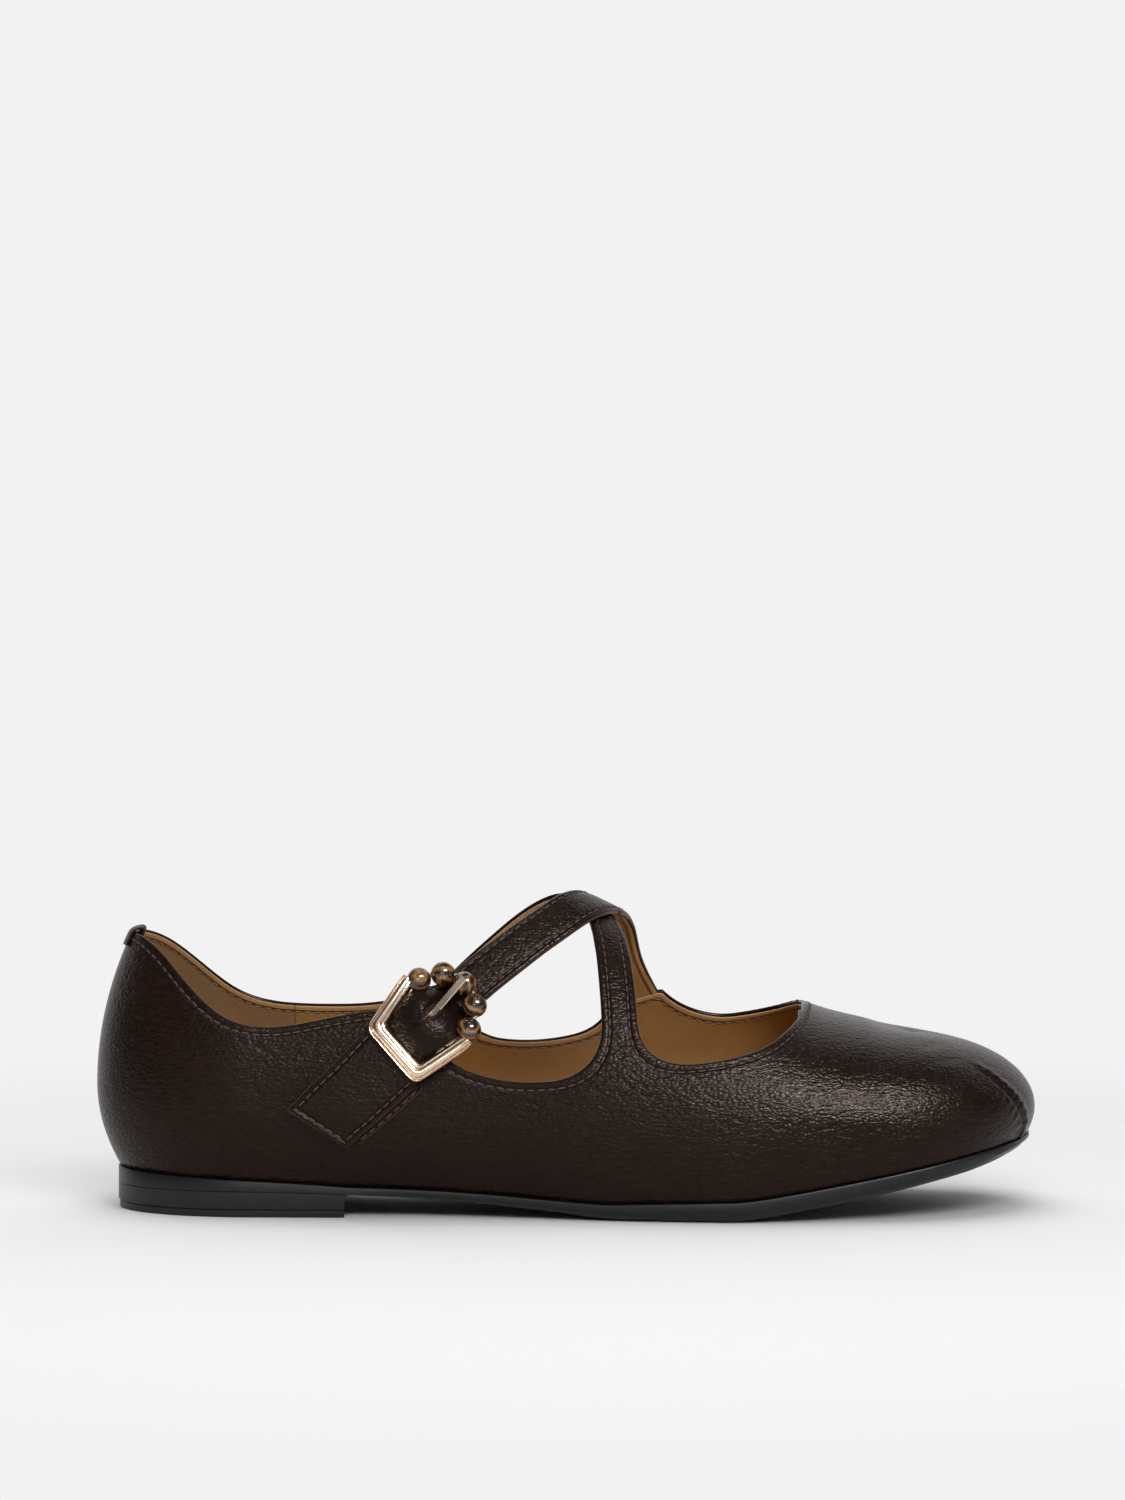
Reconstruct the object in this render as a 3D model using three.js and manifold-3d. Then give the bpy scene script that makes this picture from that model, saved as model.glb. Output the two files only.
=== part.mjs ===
// A flat mary jane for the right foot, with two straps that cross over the instep and a
// buckle set with stone beads on the outer side.
// Millimetres. X runs from heel to toe, Y towards the inner side of the foot, Z up.
import * as THREE from "three";
import { mergeVertices } from "three/addons/utils/BufferGeometryUtils.js";
import Module from "manifold-3d";

const wasm = await Module();
wasm.setup();

// Sizes of the last
const LENGTH = 250;
const HALF_BALL = 41.5;
const INSTEP_HEIGHT = 82;
const BACK_HEIGHT = 74.3;
const BACK_LEAN = 9.8;
const HEEL_TURN = 42;
const TOE_TURN = 205;
const TOE_RIDGE = 10;
const TOE_SQUARENESS = 2.25;

// Sizes of the upper and its straps
const WALL = 1.8;
const GAP = 0.35;
const FILLET = 15;
const UNDER_STRAP_WIDTH = 9.4;
const HORN_WIDTH = 13;
const HORN_LAP = 13;
const STRAP_THICKNESS = 1.6;
const STRAP_WIDTH = 12;
const STRAP_SAG = 1;
const FALL_RUN = 5.8;
const CLIMB_START = 28;
const CLIMB_END = 13;
const DIVE_START = 11.5;
const STRAP_EASE = 0.55;
const TAIL_WIDTH = 17.7;
const TAIL_ROOT_WIDTH = 19.6;
const TAIL_LENGTH = 26.5;
const TAIL_SLANT = 0.29;
const CHAPE_THICKNESS = 1;
const CHAPE_WIDTH = 11;
const CHAPE_STEP = 1.8;
const CHAPE_END = 3;
const TAB_WIDTH = 9.4;
const TAB_DEPTH = 4;
const TAB_THICKNESS = 0.7;
const TAB_GAP = 0.35;

// Sizes of the bottom
const SOLE_THICKNESS = 5;
const SOLE_MARGIN = 0.4;
const TREAD_START = 138;
const TREAD_END = 166;
const ARCH_RISE = 6.8;
const ARCH_RUN = 100;
const ARCH_BEND = 4;
const TOE_SLOPE = 0.195;
const TOE_BEND = 8;
const BREAST = 67.5;
const BREAST_HOLLOW = 2.5;
const LIFT_THICKNESS = 2;
const LIFT_INSET = 0.35;
const INSOLE_THICKNESS = 2.6;
const INSOLE_EASE = 1.5;

// Sizes of the buckle, along the strap from the flat bar, across it, and up from the upper
const FRAME_WIDTH = 19.2;
const FRAME_FLARE = 3.2;
const ARM_LENGTH = 16;
const BAR_BAND = 4.1;
const ARM_BAND = 3.5;
const FRAME_THICKNESS = 2.6;
const FRAME_BEVEL = 0.7;
const CORNER = 2.6;
const INNER_CORNER = 1.2;
const END_ROUND = 1.3;
const PIVOT_SEAT = 0.9;
const PIVOT_ALONG = 12.4;
const PIVOT_RADIUS = 0.8;
const PIVOT_DROP = 0.15;
const BEAD_RADIUS = 3.05;
const WIRE_RADIUS = 0.55;
const BEAD_SPACE = 0.32;
const BEAD_ARC_CENTRE = 17;
const BEAD_ARC_RADIUS = 9.7;
const BEADS = 5;
const PRONG_WIDTH = 1.8;
const PRONG_THICKNESS = 1;
const EYE_WALL = 0.6;
const HOLE_ALONG = 15.9;
const HOLE_LENGTH = 4.6;

// The last, in sections. at: share of the length. outer, inner: how far the section
// reaches to each side of the middle line, and shift: how far its ridge stands to the
// inner side, as shares of half the ball width. ridge, bulge: heights of the top and of
// the widest line, as shares of the instep height. lean: how much narrower the section
// grows towards its ridge. tuck: how far the wall turns in below the bulge, as a share
// of half the ball width.
const LAST = [
  { at: 0, outer: 0.747, inner: 0.747, shift: 0, ridge: 1.18, bulge: 0.402, lean: 0.5, tuck: 0.145 },
  { at: 0.168, outer: 0.747, inner: 0.747, shift: 0, ridge: 1.18, bulge: 0.372, lean: 0.5, tuck: 0.13 },
  { at: 0.28, outer: 0.785, inner: 0.711, shift: 0.01, ridge: 1.145, bulge: 0.345, lean: 0.43, tuck: 0.15 },
  { at: 0.4, outer: 0.85, inner: 0.7, shift: 0.055, ridge: 1.09, bulge: 0.32, lean: 0.31, tuck: 0.17 },
  { at: 0.5, outer: 0.92, inner: 0.755, shift: 0.1, ridge: 1.015, bulge: 0.308, lean: 0.2, tuck: 0.15 },
  { at: 0.6, outer: 0.985, inner: 0.87, shift: 0.145, ridge: 0.87, bulge: 0.298, lean: 0.08, tuck: 0.11 },
  { at: 0.68, outer: 1.0, inner: 0.955, shift: 0.16, ridge: 0.765, bulge: 0.294, lean: 0, tuck: 0.08 },
  { at: 0.752, outer: 0.97, inner: 0.985, shift: 0.16, ridge: 0.66, bulge: 0.298, lean: -0.05, tuck: 0.065 },
  { at: 0.82, outer: 0.915, inner: 0.965, shift: 0.155, ridge: 0.604, bulge: 0.305, lean: -0.09, tuck: 0.055 },
  { at: 0.91, outer: 0.86, inner: 0.925, shift: 0.14, ridge: 0.578, bulge: 0.314, lean: -0.11, tuck: 0.05 },
  { at: 1, outer: 0.82, inner: 0.895, shift: 0.12, ridge: 0.56, bulge: 0.323, lean: -0.11, tuck: 0.045 },
];

// Thickness of the sole as a share of its named one, the share of it that stands upright
// at the edge, and how far the bevel below runs in, as a share of the thickness.
const SOLE = [
  { at: 0, thick: 0.94, upright: 0.97, bevel: 0.04 },
  { at: 0.15, thick: 0.66, upright: 0.97, bevel: 0.04 },
  { at: 0.27, thick: 0.46, upright: 0.97, bevel: 0.04 },
  { at: 0.33, thick: 0.54, upright: 0.6, bevel: 0.8 },
  { at: 0.48, thick: 0.76, upright: 0.6, bevel: 1 },
  { at: 0.57, thick: 1, upright: 0.65, bevel: 0.8 },
  { at: 0.66, thick: 1.14, upright: 0.65, bevel: 0.6 },
  { at: 0.77, thick: 1.1, upright: 0.65, bevel: 0.6 },
  { at: 0.93, thick: 1.05, upright: 0.55, bevel: 0.8 },
  { at: 1, thick: 1, upright: 0.25, bevel: 1.3 },
];

// The top edge of the upper without its straps, seen from the side.
// at: share of the length. height: share of the instep height.
const OUTER_TOPLINE = [
  { at: 0, height: 0.908 },
  { at: 0.05, height: 0.889 },
  { at: 0.072, height: 0.842 },
  { at: 0.094, height: 0.772 },
  { at: 0.116, height: 0.704 },
  { at: 0.144, height: 0.643 },
  { at: 0.175, height: 0.618 },
  { at: 0.207, height: 0.621 },
  { at: 0.241, height: 0.64 },
  { at: 0.275, height: 0.66 },
  { at: 0.303, height: 0.668 },
  { at: 0.325, height: 0.648 },
  { at: 0.35, height: 0.585 },
  { at: 0.38, height: 0.51 },
  { at: 0.412, height: 0.468 },
  { at: 0.45, height: 0.45 },
  { at: 0.5, height: 0.459 },
  { at: 0.56, height: 0.487 },
  { at: 0.6, height: 0.504 },
  { at: 0.64, height: 0.512 },
  { at: 0.672, height: 0.526 },
  { at: 0.7, height: 0.549 },
  { at: 0.72, height: 0.578 },
  { at: 0.737, height: 0.614 },
  { at: 0.746, height: 0.636 },
  { at: 0.752, height: 0.66 },
];
const INNER_TOPLINE = [
  { at: 0, height: 0.908 },
  { at: 0.05, height: 0.893 },
  { at: 0.072, height: 0.86 },
  { at: 0.094, height: 0.806 },
  { at: 0.116, height: 0.745 },
  { at: 0.14, height: 0.687 },
  { at: 0.175, height: 0.643 },
  { at: 0.21, height: 0.63 },
  { at: 0.25, height: 0.628 },
  { at: 0.29, height: 0.628 },
  { at: 0.33, height: 0.612 },
  { at: 0.37, height: 0.565 },
  { at: 0.41, height: 0.523 },
  { at: 0.46, height: 0.506 },
  { at: 0.51, height: 0.525 },
  { at: 0.56, height: 0.565 },
  { at: 0.6, height: 0.578 },
  { at: 0.64, height: 0.583 },
  { at: 0.672, height: 0.588 },
  { at: 0.7, height: 0.602 },
  { at: 0.72, height: 0.618 },
  { at: 0.737, height: 0.638 },
  { at: 0.746, height: 0.652 },
  { at: 0.752, height: 0.66 },
];

// Middle lines of the straps over the last. at: share of the length. turn: -1 at the
// outer lower edge of the last, 0 on its ridge, 1 at the inner lower edge.
const UNDER_ROUTE = [
  { at: 0.556, turn: -0.806 },
  { at: 0.556, turn: -0.617 },
  { at: 0.553, turn: -0.427 },
  { at: 0.545, turn: -0.213 },
  { at: 0.528, turn: 0 },
  { at: 0.492, turn: 0.213 },
  { at: 0.443, turn: 0.403 },
  { at: 0.395, turn: 0.545 },
  { at: 0.35, turn: 0.664 },
  { at: 0.3, turn: 0.783 },
];
const BUCKLE_ROUTE = [
  { at: 0.2395, turn: -0.868 },
  { at: 0.26, turn: -0.8245 },
  { at: 0.28, turn: -0.7865 },
  { at: 0.321, turn: -0.7 },
  { at: 0.358, turn: -0.619 },
  { at: 0.398, turn: -0.522 },
  { at: 0.45, turn: -0.391 },
  { at: 0.498, turn: -0.225 },
  { at: 0.534, turn: 0 },
  { at: 0.548, turn: 0.213 },
  { at: 0.559, turn: 0.391 },
  { at: 0.58, turn: 0.522 },
  { at: 0.602, turn: 0.628 },
];

// Steps of the meshes
const HEEL_STEPS = 9;
const MIDDLE_STEP = 7;
const TOE_STEPS = 11;
const LOWER_STEPS = 4;
const UPPER_STEPS = 13;
const STRAP_STEP = 3.2;
const STRAP_FINE_STEP = 1.2;
const RIBBON_SHARES = [0, 0.35, 0.65, 1];
const TAB_STEPS = 3;
const TAB_TURNS = 4;
const LOOP_STEPS = 9;
const ROUTE_SAMPLES = 160;
const BREAST_SIDES = 96;
const HOLLOW_HEIGHT = 30;
const ROD_SIDES = 8;
const BEAD_RINGS = 10;
const BEAD_SIDES = 16;
const EYE_SIDES = 8;
const LOOP_TURN = 3.4;
const LOOP_ENTRY = 0.25;
const HOLE_DEPTH = 6;
const OUTLINE_STEP = 2.6;
const CORNER_STEPS = 3;
const HALVINGS = 22;
const BULGE_LEVEL = 0.17;
const DIFFERENCE = 1e-3;
const SLIVER = 0.12;
const WELD = 2e-3;
const WALK_STEP = 1.5;
const PITCH_STEP = 0.5;

// A natural cubic spline through points with rising xs.
function naturalSpline(xs, ys) {
  const n = xs.length - 1;
  const h = xs.slice(1).map((x, i) => x - xs[i]);
  const slope = h.map((step, i) => (ys[i + 1] - ys[i]) / step);
  const bend = new Array(n + 1).fill(0);
  const reduced = new Array(n + 1).fill(0);
  const value = new Array(n + 1).fill(0);
  for (let i = 1; i < n; i++) {
    const pivot = 2 * (h[i - 1] + h[i]) - h[i - 1] * reduced[i - 1];
    reduced[i] = h[i] / pivot;
    value[i] = (6 * (slope[i] - slope[i - 1]) - h[i - 1] * value[i - 1]) / pivot;
  }
  for (let i = n - 1; i > 0; i--) bend[i] = value[i] - reduced[i] * bend[i + 1];
  return (x) => {
    const t = Math.min(Math.max(x, xs[0]), xs[n]);
    let i = 0;
    while (i < n - 1 && t > xs[i + 1]) i++;
    const a = (xs[i + 1] - t) / h[i];
    const b = 1 - a;
    const cubic = ((a ** 3 - a) * bend[i] + (b ** 3 - b) * bend[i + 1]) * (h[i] ** 2 / 6);
    return a * ys[i] + b * ys[i + 1] + cubic;
  };
}

function straightLines(xs, ys) {
  return (x) => {
    const t = Math.min(Math.max(x, xs[0]), xs[xs.length - 1]);
    let i = 0;
    while (i < xs.length - 2 && t > xs[i + 1]) i++;
    return THREE.MathUtils.mapLinear(t, xs[i], xs[i + 1], ys[i], ys[i + 1]);
  };
}

// One function for each named column of a table, of the share of the length.
function columnsOf(rows, interpolate = naturalSpline) {
  const names = Object.keys(rows[0]).filter((name) => name !== "at");
  const xs = rows.map((row) => row.at);
  return Object.fromEntries(
    names.map((name) => [name, interpolate(xs, rows.map((row) => row[name]))]),
  );
}

const last = columnsOf(LAST);
const sole = columnsOf(SOLE, straightLines);
const outerTopline = columnsOf(OUTER_TOPLINE).height;
const innerTopline = columnsOf(INNER_TOPLINE).height;

// Height of the tread side of the sole, and of the edge where upper and sole meet
function soleBottom(x) {
  const waist = Math.hypot(Math.max(TREAD_START - x, 0), ARCH_BEND) - ARCH_BEND;
  const toe = Math.hypot(Math.max(x - TREAD_END, 0), TOE_BEND) - TOE_BEND;
  const left = Math.max(1 - waist / ARCH_RUN, 0);
  return ARCH_RISE * (1 - left * left) + TOE_SLOPE * toe;
}

function featherHeight(x) {
  return soleBottom(x) + SOLE_THICKNESS * sole.thick(x / LENGTH);
}

// Stations run from 0 at the back of the heel over 1 at the heel turn and 2 at the toe
// turn to 3 at the tip. At both ends the sections fan round an ellipse.
function stationOf(x) {
  return 1 + (x - HEEL_TURN) / (TOE_TURN - HEEL_TURN);
}

function fansOf(station) {
  const heelFan = Math.max(1 - station, 0) * (Math.PI / 2);
  const toeFan = Math.max(station - 2, 0) * (Math.PI / 2);
  const middle = HEEL_TURN + (Math.min(Math.max(station, 1), 2) - 1) * (TOE_TURN - HEEL_TURN);
  const nominal = middle - HEEL_TURN * Math.sin(heelFan) + (LENGTH - TOE_TURN) * Math.sin(toeFan);
  return { heelFan, toeFan, middle, nominal };
}

// At both ends the two sides of the last meet in one rib.
function onEndRib(station) {
  return station < DIFFERENCE || station > 3 - DIFFERENCE;
}

// A point on the outside of the last. turn runs from -1 at the outer lower edge over 0
// on the ridge to 1 at the inner lower edge.
function lastPoint(station, turn) {
  const level = 1 - Math.abs(turn);
  const side = turn < 0 ? -1 : 1;
  const { heelFan, toeFan, middle, nominal } = fansOf(station);
  const at = nominal / LENGTH;
  const ridgeY = last.shift(at) * HALF_BALL;
  const reach = (side < 0 ? last.outer(at) : last.inner(at)) * HALF_BALL + (side < 0 ? 1 : -1) * ridgeY;
  const tuck = last.tuck(at) * HALF_BALL;
  const bulge = last.bulge(at) * INSTEP_HEIGHT;
  const below = Math.max(1 - level / BULGE_LEVEL, 0);
  const angle = (Math.max(level - BULGE_LEVEL, 0) / (1 - BULGE_LEVEL)) * (Math.PI / 2);
  const z =
    below > 0
      ? bulge - (bulge - featherHeight(nominal)) * below
      : bulge + (last.ridge(at) * INSTEP_HEIGHT - bulge) * Math.sin(angle);
  const narrowing = Math.cos(angle) * (1 - last.lean(at) * Math.sin(angle) ** 2);
  const halfWidth = reach * narrowing - tuck * below ** 2;
  const lean = BACK_LEAN * (Math.max(z - bulge, 0) / (BACK_HEIGHT - bulge)) ** 2;
  const heelReach = HEEL_TURN - lean - tuck * below ** 2;
  const toeReach = TOE_RIDGE + (LENGTH - TOE_TURN - TOE_RIDGE) * Math.cos(angle) - tuck * below ** 2;
  const cap =
    Math.cos(heelFan) * Math.sqrt(Math.max(1 - Math.sin(toeFan) ** TOE_SQUARENESS, 0));
  const x = middle - heelReach * Math.sin(heelFan) + toeReach * Math.sin(toeFan);
  return new THREE.Vector3(x, ridgeY + side * halfWidth * cap, z);
}

function lastSlopes(station, turn) {
  const s = Math.min(Math.max(station, DIFFERENCE), 3 - DIFFERENCE);
  const t = Math.min(Math.max(turn, DIFFERENCE - 1), 1 - DIFFERENCE);
  const slope = (a, b) => b.sub(a).divideScalar(2 * DIFFERENCE);
  return {
    along: slope(lastPoint(s - DIFFERENCE, t), lastPoint(s + DIFFERENCE, t)),
    around: slope(lastPoint(s, t - DIFFERENCE), lastPoint(s, t + DIFFERENCE)),
  };
}

function lastNormal(station, turn) {
  const { along, around } = lastSlopes(station, turn);
  const normal = along.cross(around).normalize();
  return onEndRib(station) ? normal.setY(0).normalize() : normal;
}

function lifted(station, turn, height) {
  return lastPoint(station, turn).addScaledVector(lastNormal(station, turn), height);
}

// A strap's middle line laid on the last, with points spaced by real distance.
function layRoute(rows) {
  const flat = new THREE.CatmullRomCurve3(
    rows.map((row) => new THREE.Vector3(stationOf(row.at * LENGTH), row.turn, 0)),
    false,
    "centripetal",
  );
  const samples = Array.from({ length: ROUTE_SAMPLES + 1 }, (_, i) => {
    const place = flat.getPoint(i / ROUTE_SAMPLES);
    return { station: place.x, turn: place.y, point: lastPoint(place.x, place.y), distance: 0 };
  });
  for (let i = 1; i < samples.length; i++) {
    const step = samples[i].point.distanceTo(samples[i - 1].point);
    samples[i].distance = samples[i - 1].distance + step;
  }
  return samples;
}

function routeLength(route) {
  return route[route.length - 1].distance;
}

function onRoute(route, distance) {
  const d = Math.min(Math.max(distance, 0), routeLength(route));
  let i = 0;
  while (i < route.length - 2 && d > route[i + 1].distance) i++;
  const a = route[i];
  const b = route[i + 1];
  const share = (d - a.distance) / (b.distance - a.distance);
  return {
    station: THREE.MathUtils.lerp(a.station, b.station, share),
    turn: THREE.MathUtils.lerp(a.turn, b.turn, share),
    tangent: b.point.clone().sub(a.point).normalize(),
    beyond: distance - d,
  };
}

// The place on the last that a small step in space leads to
function stepOnLast({ station, turn }, step) {
  const { along, around } = lastSlopes(station, turn);
  const aa = along.lengthSq();
  const ab = along.dot(around);
  const bb = around.lengthSq();
  const pa = along.dot(step);
  const pb = around.dot(step);
  const scale = 1 / (aa * bb - ab * ab);
  return {
    station: station + (pa * bb - pb * ab) * scale,
    turn: turn + (pb * aa - pa * ab) * scale,
  };
}

// A place along a route, across it to the heel side, and up from the last. It is reached
// in short steps over the surface, so that distances stay true where the last curves.
function besideRoute(route, along, across, height) {
  const start = onRoute(route, along);
  const sideways = lastNormal(start.station, start.turn).cross(start.tangent).normalize();
  const wanted = sideways.multiplyScalar(across).addScaledVector(start.tangent, start.beyond);
  const count = Math.ceil(wanted.length() / WALK_STEP);
  let place = start;
  for (let i = 0; i < count; i++) {
    const normal = lastNormal(place.station, place.turn);
    const flat = wanted.clone().projectOnPlane(normal).setLength(wanted.length() / count);
    place = stepOnLast(place, flat);
  }
  return lifted(place.station, place.turn, height);
}

function distanceTo(points, point) {
  const line = new THREE.Line3();
  const nearest = new THREE.Vector3();
  let best = Infinity;
  for (let i = 1; i < points.length; i++) {
    line.set(points[i - 1], points[i]).closestPointToPoint(point, true, nearest);
    best = Math.min(best, nearest.distanceToSquared(point));
  }
  return Math.sqrt(best);
}

// Solids from points and triangles, and between three.js and manifold-3d
function geometryOf(points, triangles) {
  const geometry = new THREE.BufferGeometry().setFromPoints(points);
  geometry.setIndex(triangles.flat());
  return geometry;
}

function solidOf(geometry) {
  const plain = new THREE.BufferGeometry();
  plain.setAttribute("position", geometry.getAttribute("position"));
  if (geometry.index) plain.setIndex(geometry.index);
  const merged = mergeVertices(plain, 1e-4);
  const index = Array.from(merged.index.array);
  const kept = [];
  for (let i = 0; i < index.length; i += 3) {
    const [a, b, c] = index.slice(i, i + 3);
    if (a !== b && b !== c && c !== a) kept.push(a, b, c);
  }
  return new wasm.Manifold(
    new wasm.Mesh({
      numProp: 3,
      vertProperties: new Float32Array(merged.attributes.position.array),
      triVerts: new Uint32Array(kept),
    }),
  );
}

function geometryFrom(solid) {
  const mesh = solid.getMesh();
  const points = [];
  for (let i = 0; i < mesh.numVert; i++) {
    points.push(new THREE.Vector3(...mesh.vertProperties.subarray(i * mesh.numProp, i * mesh.numProp + 3)));
  }
  const geometry = new THREE.BufferGeometry().setFromPoints(points);
  geometry.setIndex(Array.from(mesh.triVerts));
  return geometry;
}

// A solid through rings of as many points each. The first half of a ring runs beside its
// second half, and strips between them close both ends.
function ringSolid(rings) {
  const count = rings[0].length;
  const points = rings.flat();
  const triangles = [];
  for (let r = 0; r + 1 < rings.length; r++) {
    for (let i = 0; i < count; i++) {
      const a = r * count + i;
      const b = r * count + ((i + 1) % count);
      triangles.push([a, b, b + count], [a, b + count, a + count]);
    }
  }
  const end = (rings.length - 1) * count;
  for (let a = 0; a + 1 < count / 2; a++) {
    const [b, c, d] = [a + 1, count - 2 - a, count - 1 - a];
    triangles.push([a, c, b], [a, d, c]);
    triangles.push([end + a, end + b, end + c], [end + a, end + c, end + d]);
  }
  const solid = solidOf(geometryOf(points, triangles));
  if (solid.volume() > 0) return solid;
  return solidOf(geometryOf(points, triangles.map(([a, b, c]) => [a, c, b])));
}

// Stations for a loft: the fan of the heel, even steps between the named places, and
// the fan of the toe.
function loftStations(end = LENGTH) {
  const stations = [];
  for (let i = 0; i < HEEL_STEPS; i++) stations.push(i / HEEL_STEPS);
  const stops = [HEEL_TURN, BREAST, TREAD_START, TREAD_END, TOE_TURN].filter((x) => x <= end);
  for (let i = 0; i + 1 < stops.length; i++) {
    const steps = Math.max(Math.round((stops[i + 1] - stops[i]) / MIDDLE_STEP), 1);
    for (let k = 0; k < steps; k++) {
      stations.push(stationOf(THREE.MathUtils.lerp(stops[i], stops[i + 1], k / steps)));
    }
  }
  stations.push(stationOf(stops[stops.length - 1]));
  if (end < LENGTH) return stations;
  for (let i = 1; i <= TOE_STEPS; i++) stations.push(2 + i / TOE_STEPS);
  return stations;
}

// The lower edge of the last on one side, moved out by a margin in plan.
function featherPoint(station, side, margin, height) {
  const outward = lastNormal(station, side).setZ(0).normalize();
  const point = lastPoint(station, side).addScaledVector(outward, margin);
  return point.setZ(height);
}

// The straps, and the edge that the upper has without them
const underRoute = layRoute(UNDER_ROUTE);
const buckleRoute = layRoute(BUCKLE_ROUTE);
const strapLength = routeLength(buckleRoute);
const crossing = buckleRoute.reduce((a, b) => (Math.abs(b.turn) < Math.abs(a.turn) ? b : a)).distance;
const lapStart = strapLength - HORN_LAP;
const throatTip = OUTER_TOPLINE[OUTER_TOPLINE.length - 1].at * LENGTH;
const underPoints = underRoute.map((sample) => sample.point);
const hornPoints = buckleRoute.filter((sample) => sample.distance > lapStart).map((s) => s.point);
const topline = [...toplineOn(-1), ...toplineOn(1).reverse()];

function aboveTopline(station, turn) {
  const point = lastPoint(station, turn);
  const share = (turn < 0 || onEndRib(station) ? outerTopline : innerTopline)(point.x / LENGTH);
  return point.z - share * INSTEP_HEIGHT;
}

function toplineTurn(station, side) {
  let low = 0;
  let high = 1 - BULGE_LEVEL;
  for (let i = 0; i < HALVINGS; i++) {
    const middle = (low + high) / 2;
    if (aboveTopline(station, side * middle) > 0) low = middle;
    else high = middle;
  }
  return side * low;
}

function toplineOn(side) {
  const end = stationOf(throatTip);
  const found = [];
  for (let i = 0; i < ROUTE_SAMPLES; i++) {
    const station = (i / ROUTE_SAMPLES) * end;
    found.push(lastPoint(station, toplineTurn(station, side)));
  }
  return [...found, lastPoint(end, 0)];
}

function smoothMax(a, b, width) {
  const near = Math.max(width - Math.abs(a - b), 0);
  return Math.max(a, b) + (near * near) / (4 * width);
}

// How far a place on the last lies inside the leather, negative in the openings
function leatherDepth(station, turn) {
  const point = lastPoint(station, turn);
  const open = point.x < throatTip && aboveTopline(station, turn) > 0;
  const body = distanceTo(topline, point) * (open ? -1 : 1);
  const strap = UNDER_STRAP_WIDTH / 2 - distanceTo(underPoints, point);
  const depth = smoothMax(body, strap, FILLET);
  if (turn < 0) return depth;
  const edge = onRoute(buckleRoute, lapStart);
  const beyondEdge = point.clone().sub(lastPoint(edge.station, edge.turn)).dot(edge.tangent);
  const horn = Math.min(HORN_WIDTH / 2 - distanceTo(hornPoints, point), beyondEdge);
  return Math.max(depth, smoothMax(body, horn, FILLET));
}

// The part of a triangle on the last that is leather. Corners are stations and turns.
function clipToLeather(corners) {
  const kept = [];
  corners.forEach((corner, i) => {
    const next = corners[(i + 1) % corners.length];
    if (corner.depth >= 0) kept.push(corner);
    if (corner.depth >= 0 !== next.depth >= 0) kept.push(edgeOfLeather(corner, next));
  });
  return kept;
}

function edgeOfLeather(a, b) {
  let [inside, outside] = a.depth >= 0 ? [a, b] : [b, a];
  for (let i = 0; i < HALVINGS; i++) {
    const station = (inside.station + outside.station) / 2;
    const turn = (inside.turn + outside.turn) / 2;
    const middle = { station, turn, depth: leatherDepth(station, turn) };
    if (middle.depth >= 0) inside = middle;
    else outside = middle;
  }
  return inside;
}

function leatherTriangles() {
  const outer = [];
  for (let i = 0; i < LOWER_STEPS; i++) outer.push((i / LOWER_STEPS) * BULGE_LEVEL - 1);
  for (let i = 0; i < UPPER_STEPS; i++) outer.push((1 - BULGE_LEVEL) * (i / UPPER_STEPS - 1));
  const turns = [...outer, 0, ...outer.map((turn) => -turn).reverse()];
  const grid = loftStations().map((station) =>
    turns.map((turn) => {
      const depth = leatherDepth(station, turn);
      return { station, turn, depth: Math.abs(depth) < SLIVER ? 0 : depth };
    }),
  );
  const triangles = [];
  for (let i = 0; i + 1 < grid.length; i++) {
    for (let j = 0; j + 1 < grid[i].length; j++) {
      const [a, b, c, d] = [grid[i][j], grid[i + 1][j], grid[i + 1][j + 1], grid[i][j + 1]];
      for (const half of [[a, b, c], [a, c, d]]) {
        const kept = clipToLeather(half);
        for (let k = 1; k + 1 < kept.length; k++) triangles.push([kept[0], kept[k], kept[k + 1]]);
      }
    }
  }
  return triangles;
}

// A sheet over all leather, from one height over the last to another, closed at its rim
function leatherSheet(high, low) {
  const places = [];
  const known = new Map();
  const indexOf = (corner) => {
    const point = lastPoint(corner.station, corner.turn);
    const key = point.toArray().map((value) => Math.round(value / WELD)).join();
    if (!known.has(key)) {
      known.set(key, places.length);
      places.push(corner);
    }
    return known.get(key);
  };
  const faces = leatherTriangles()
    .map((corners) => corners.map(indexOf))
    .filter(([a, b, c]) => a !== b && b !== c && c !== a);
  const directed = new Set(faces.flatMap(([a, b, c]) => [`${a}_${b}`, `${b}_${c}`, `${c}_${a}`]));
  const under = places.length;
  const triangles = [];
  for (const [a, b, c] of faces) {
    triangles.push([a, b, c], [a + under, c + under, b + under]);
    for (const [from, to] of [[a, b], [b, c], [c, a]]) {
      if (directed.has(`${to}_${from}`)) continue;
      triangles.push([to, from, from + under], [to, from + under, to + under]);
    }
  }
  const points = [high, low].flatMap((height) =>
    places.map(({ station, turn }) => lifted(station, turn, height)),
  );
  return geometryOf(points, triangles);
}

// The bottom of the shoe
function soleSection(station) {
  const { nominal } = fansOf(station);
  const at = nominal / LENGTH;
  const thick = SOLE_THICKNESS * sole.thick(at);
  const top = featherHeight(nominal) - GAP;
  return [-1, 1].flatMap((side) => {
    const edge = featherPoint(station, side, SOLE_MARGIN, top);
    const shoulder = featherPoint(station, side, SOLE_MARGIN, top - (thick - GAP) * sole.upright(at));
    const foot = featherPoint(station, side, SOLE_MARGIN - thick * sole.bevel(at), 0);
    foot.setZ(soleBottom(foot.x));
    return side < 0 ? [edge, shoulder, foot] : [foot, shoulder, edge];
  });
}

function outsole() {
  return geometryFrom(ringSolid(loftStations().map(soleSection)));
}

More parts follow.
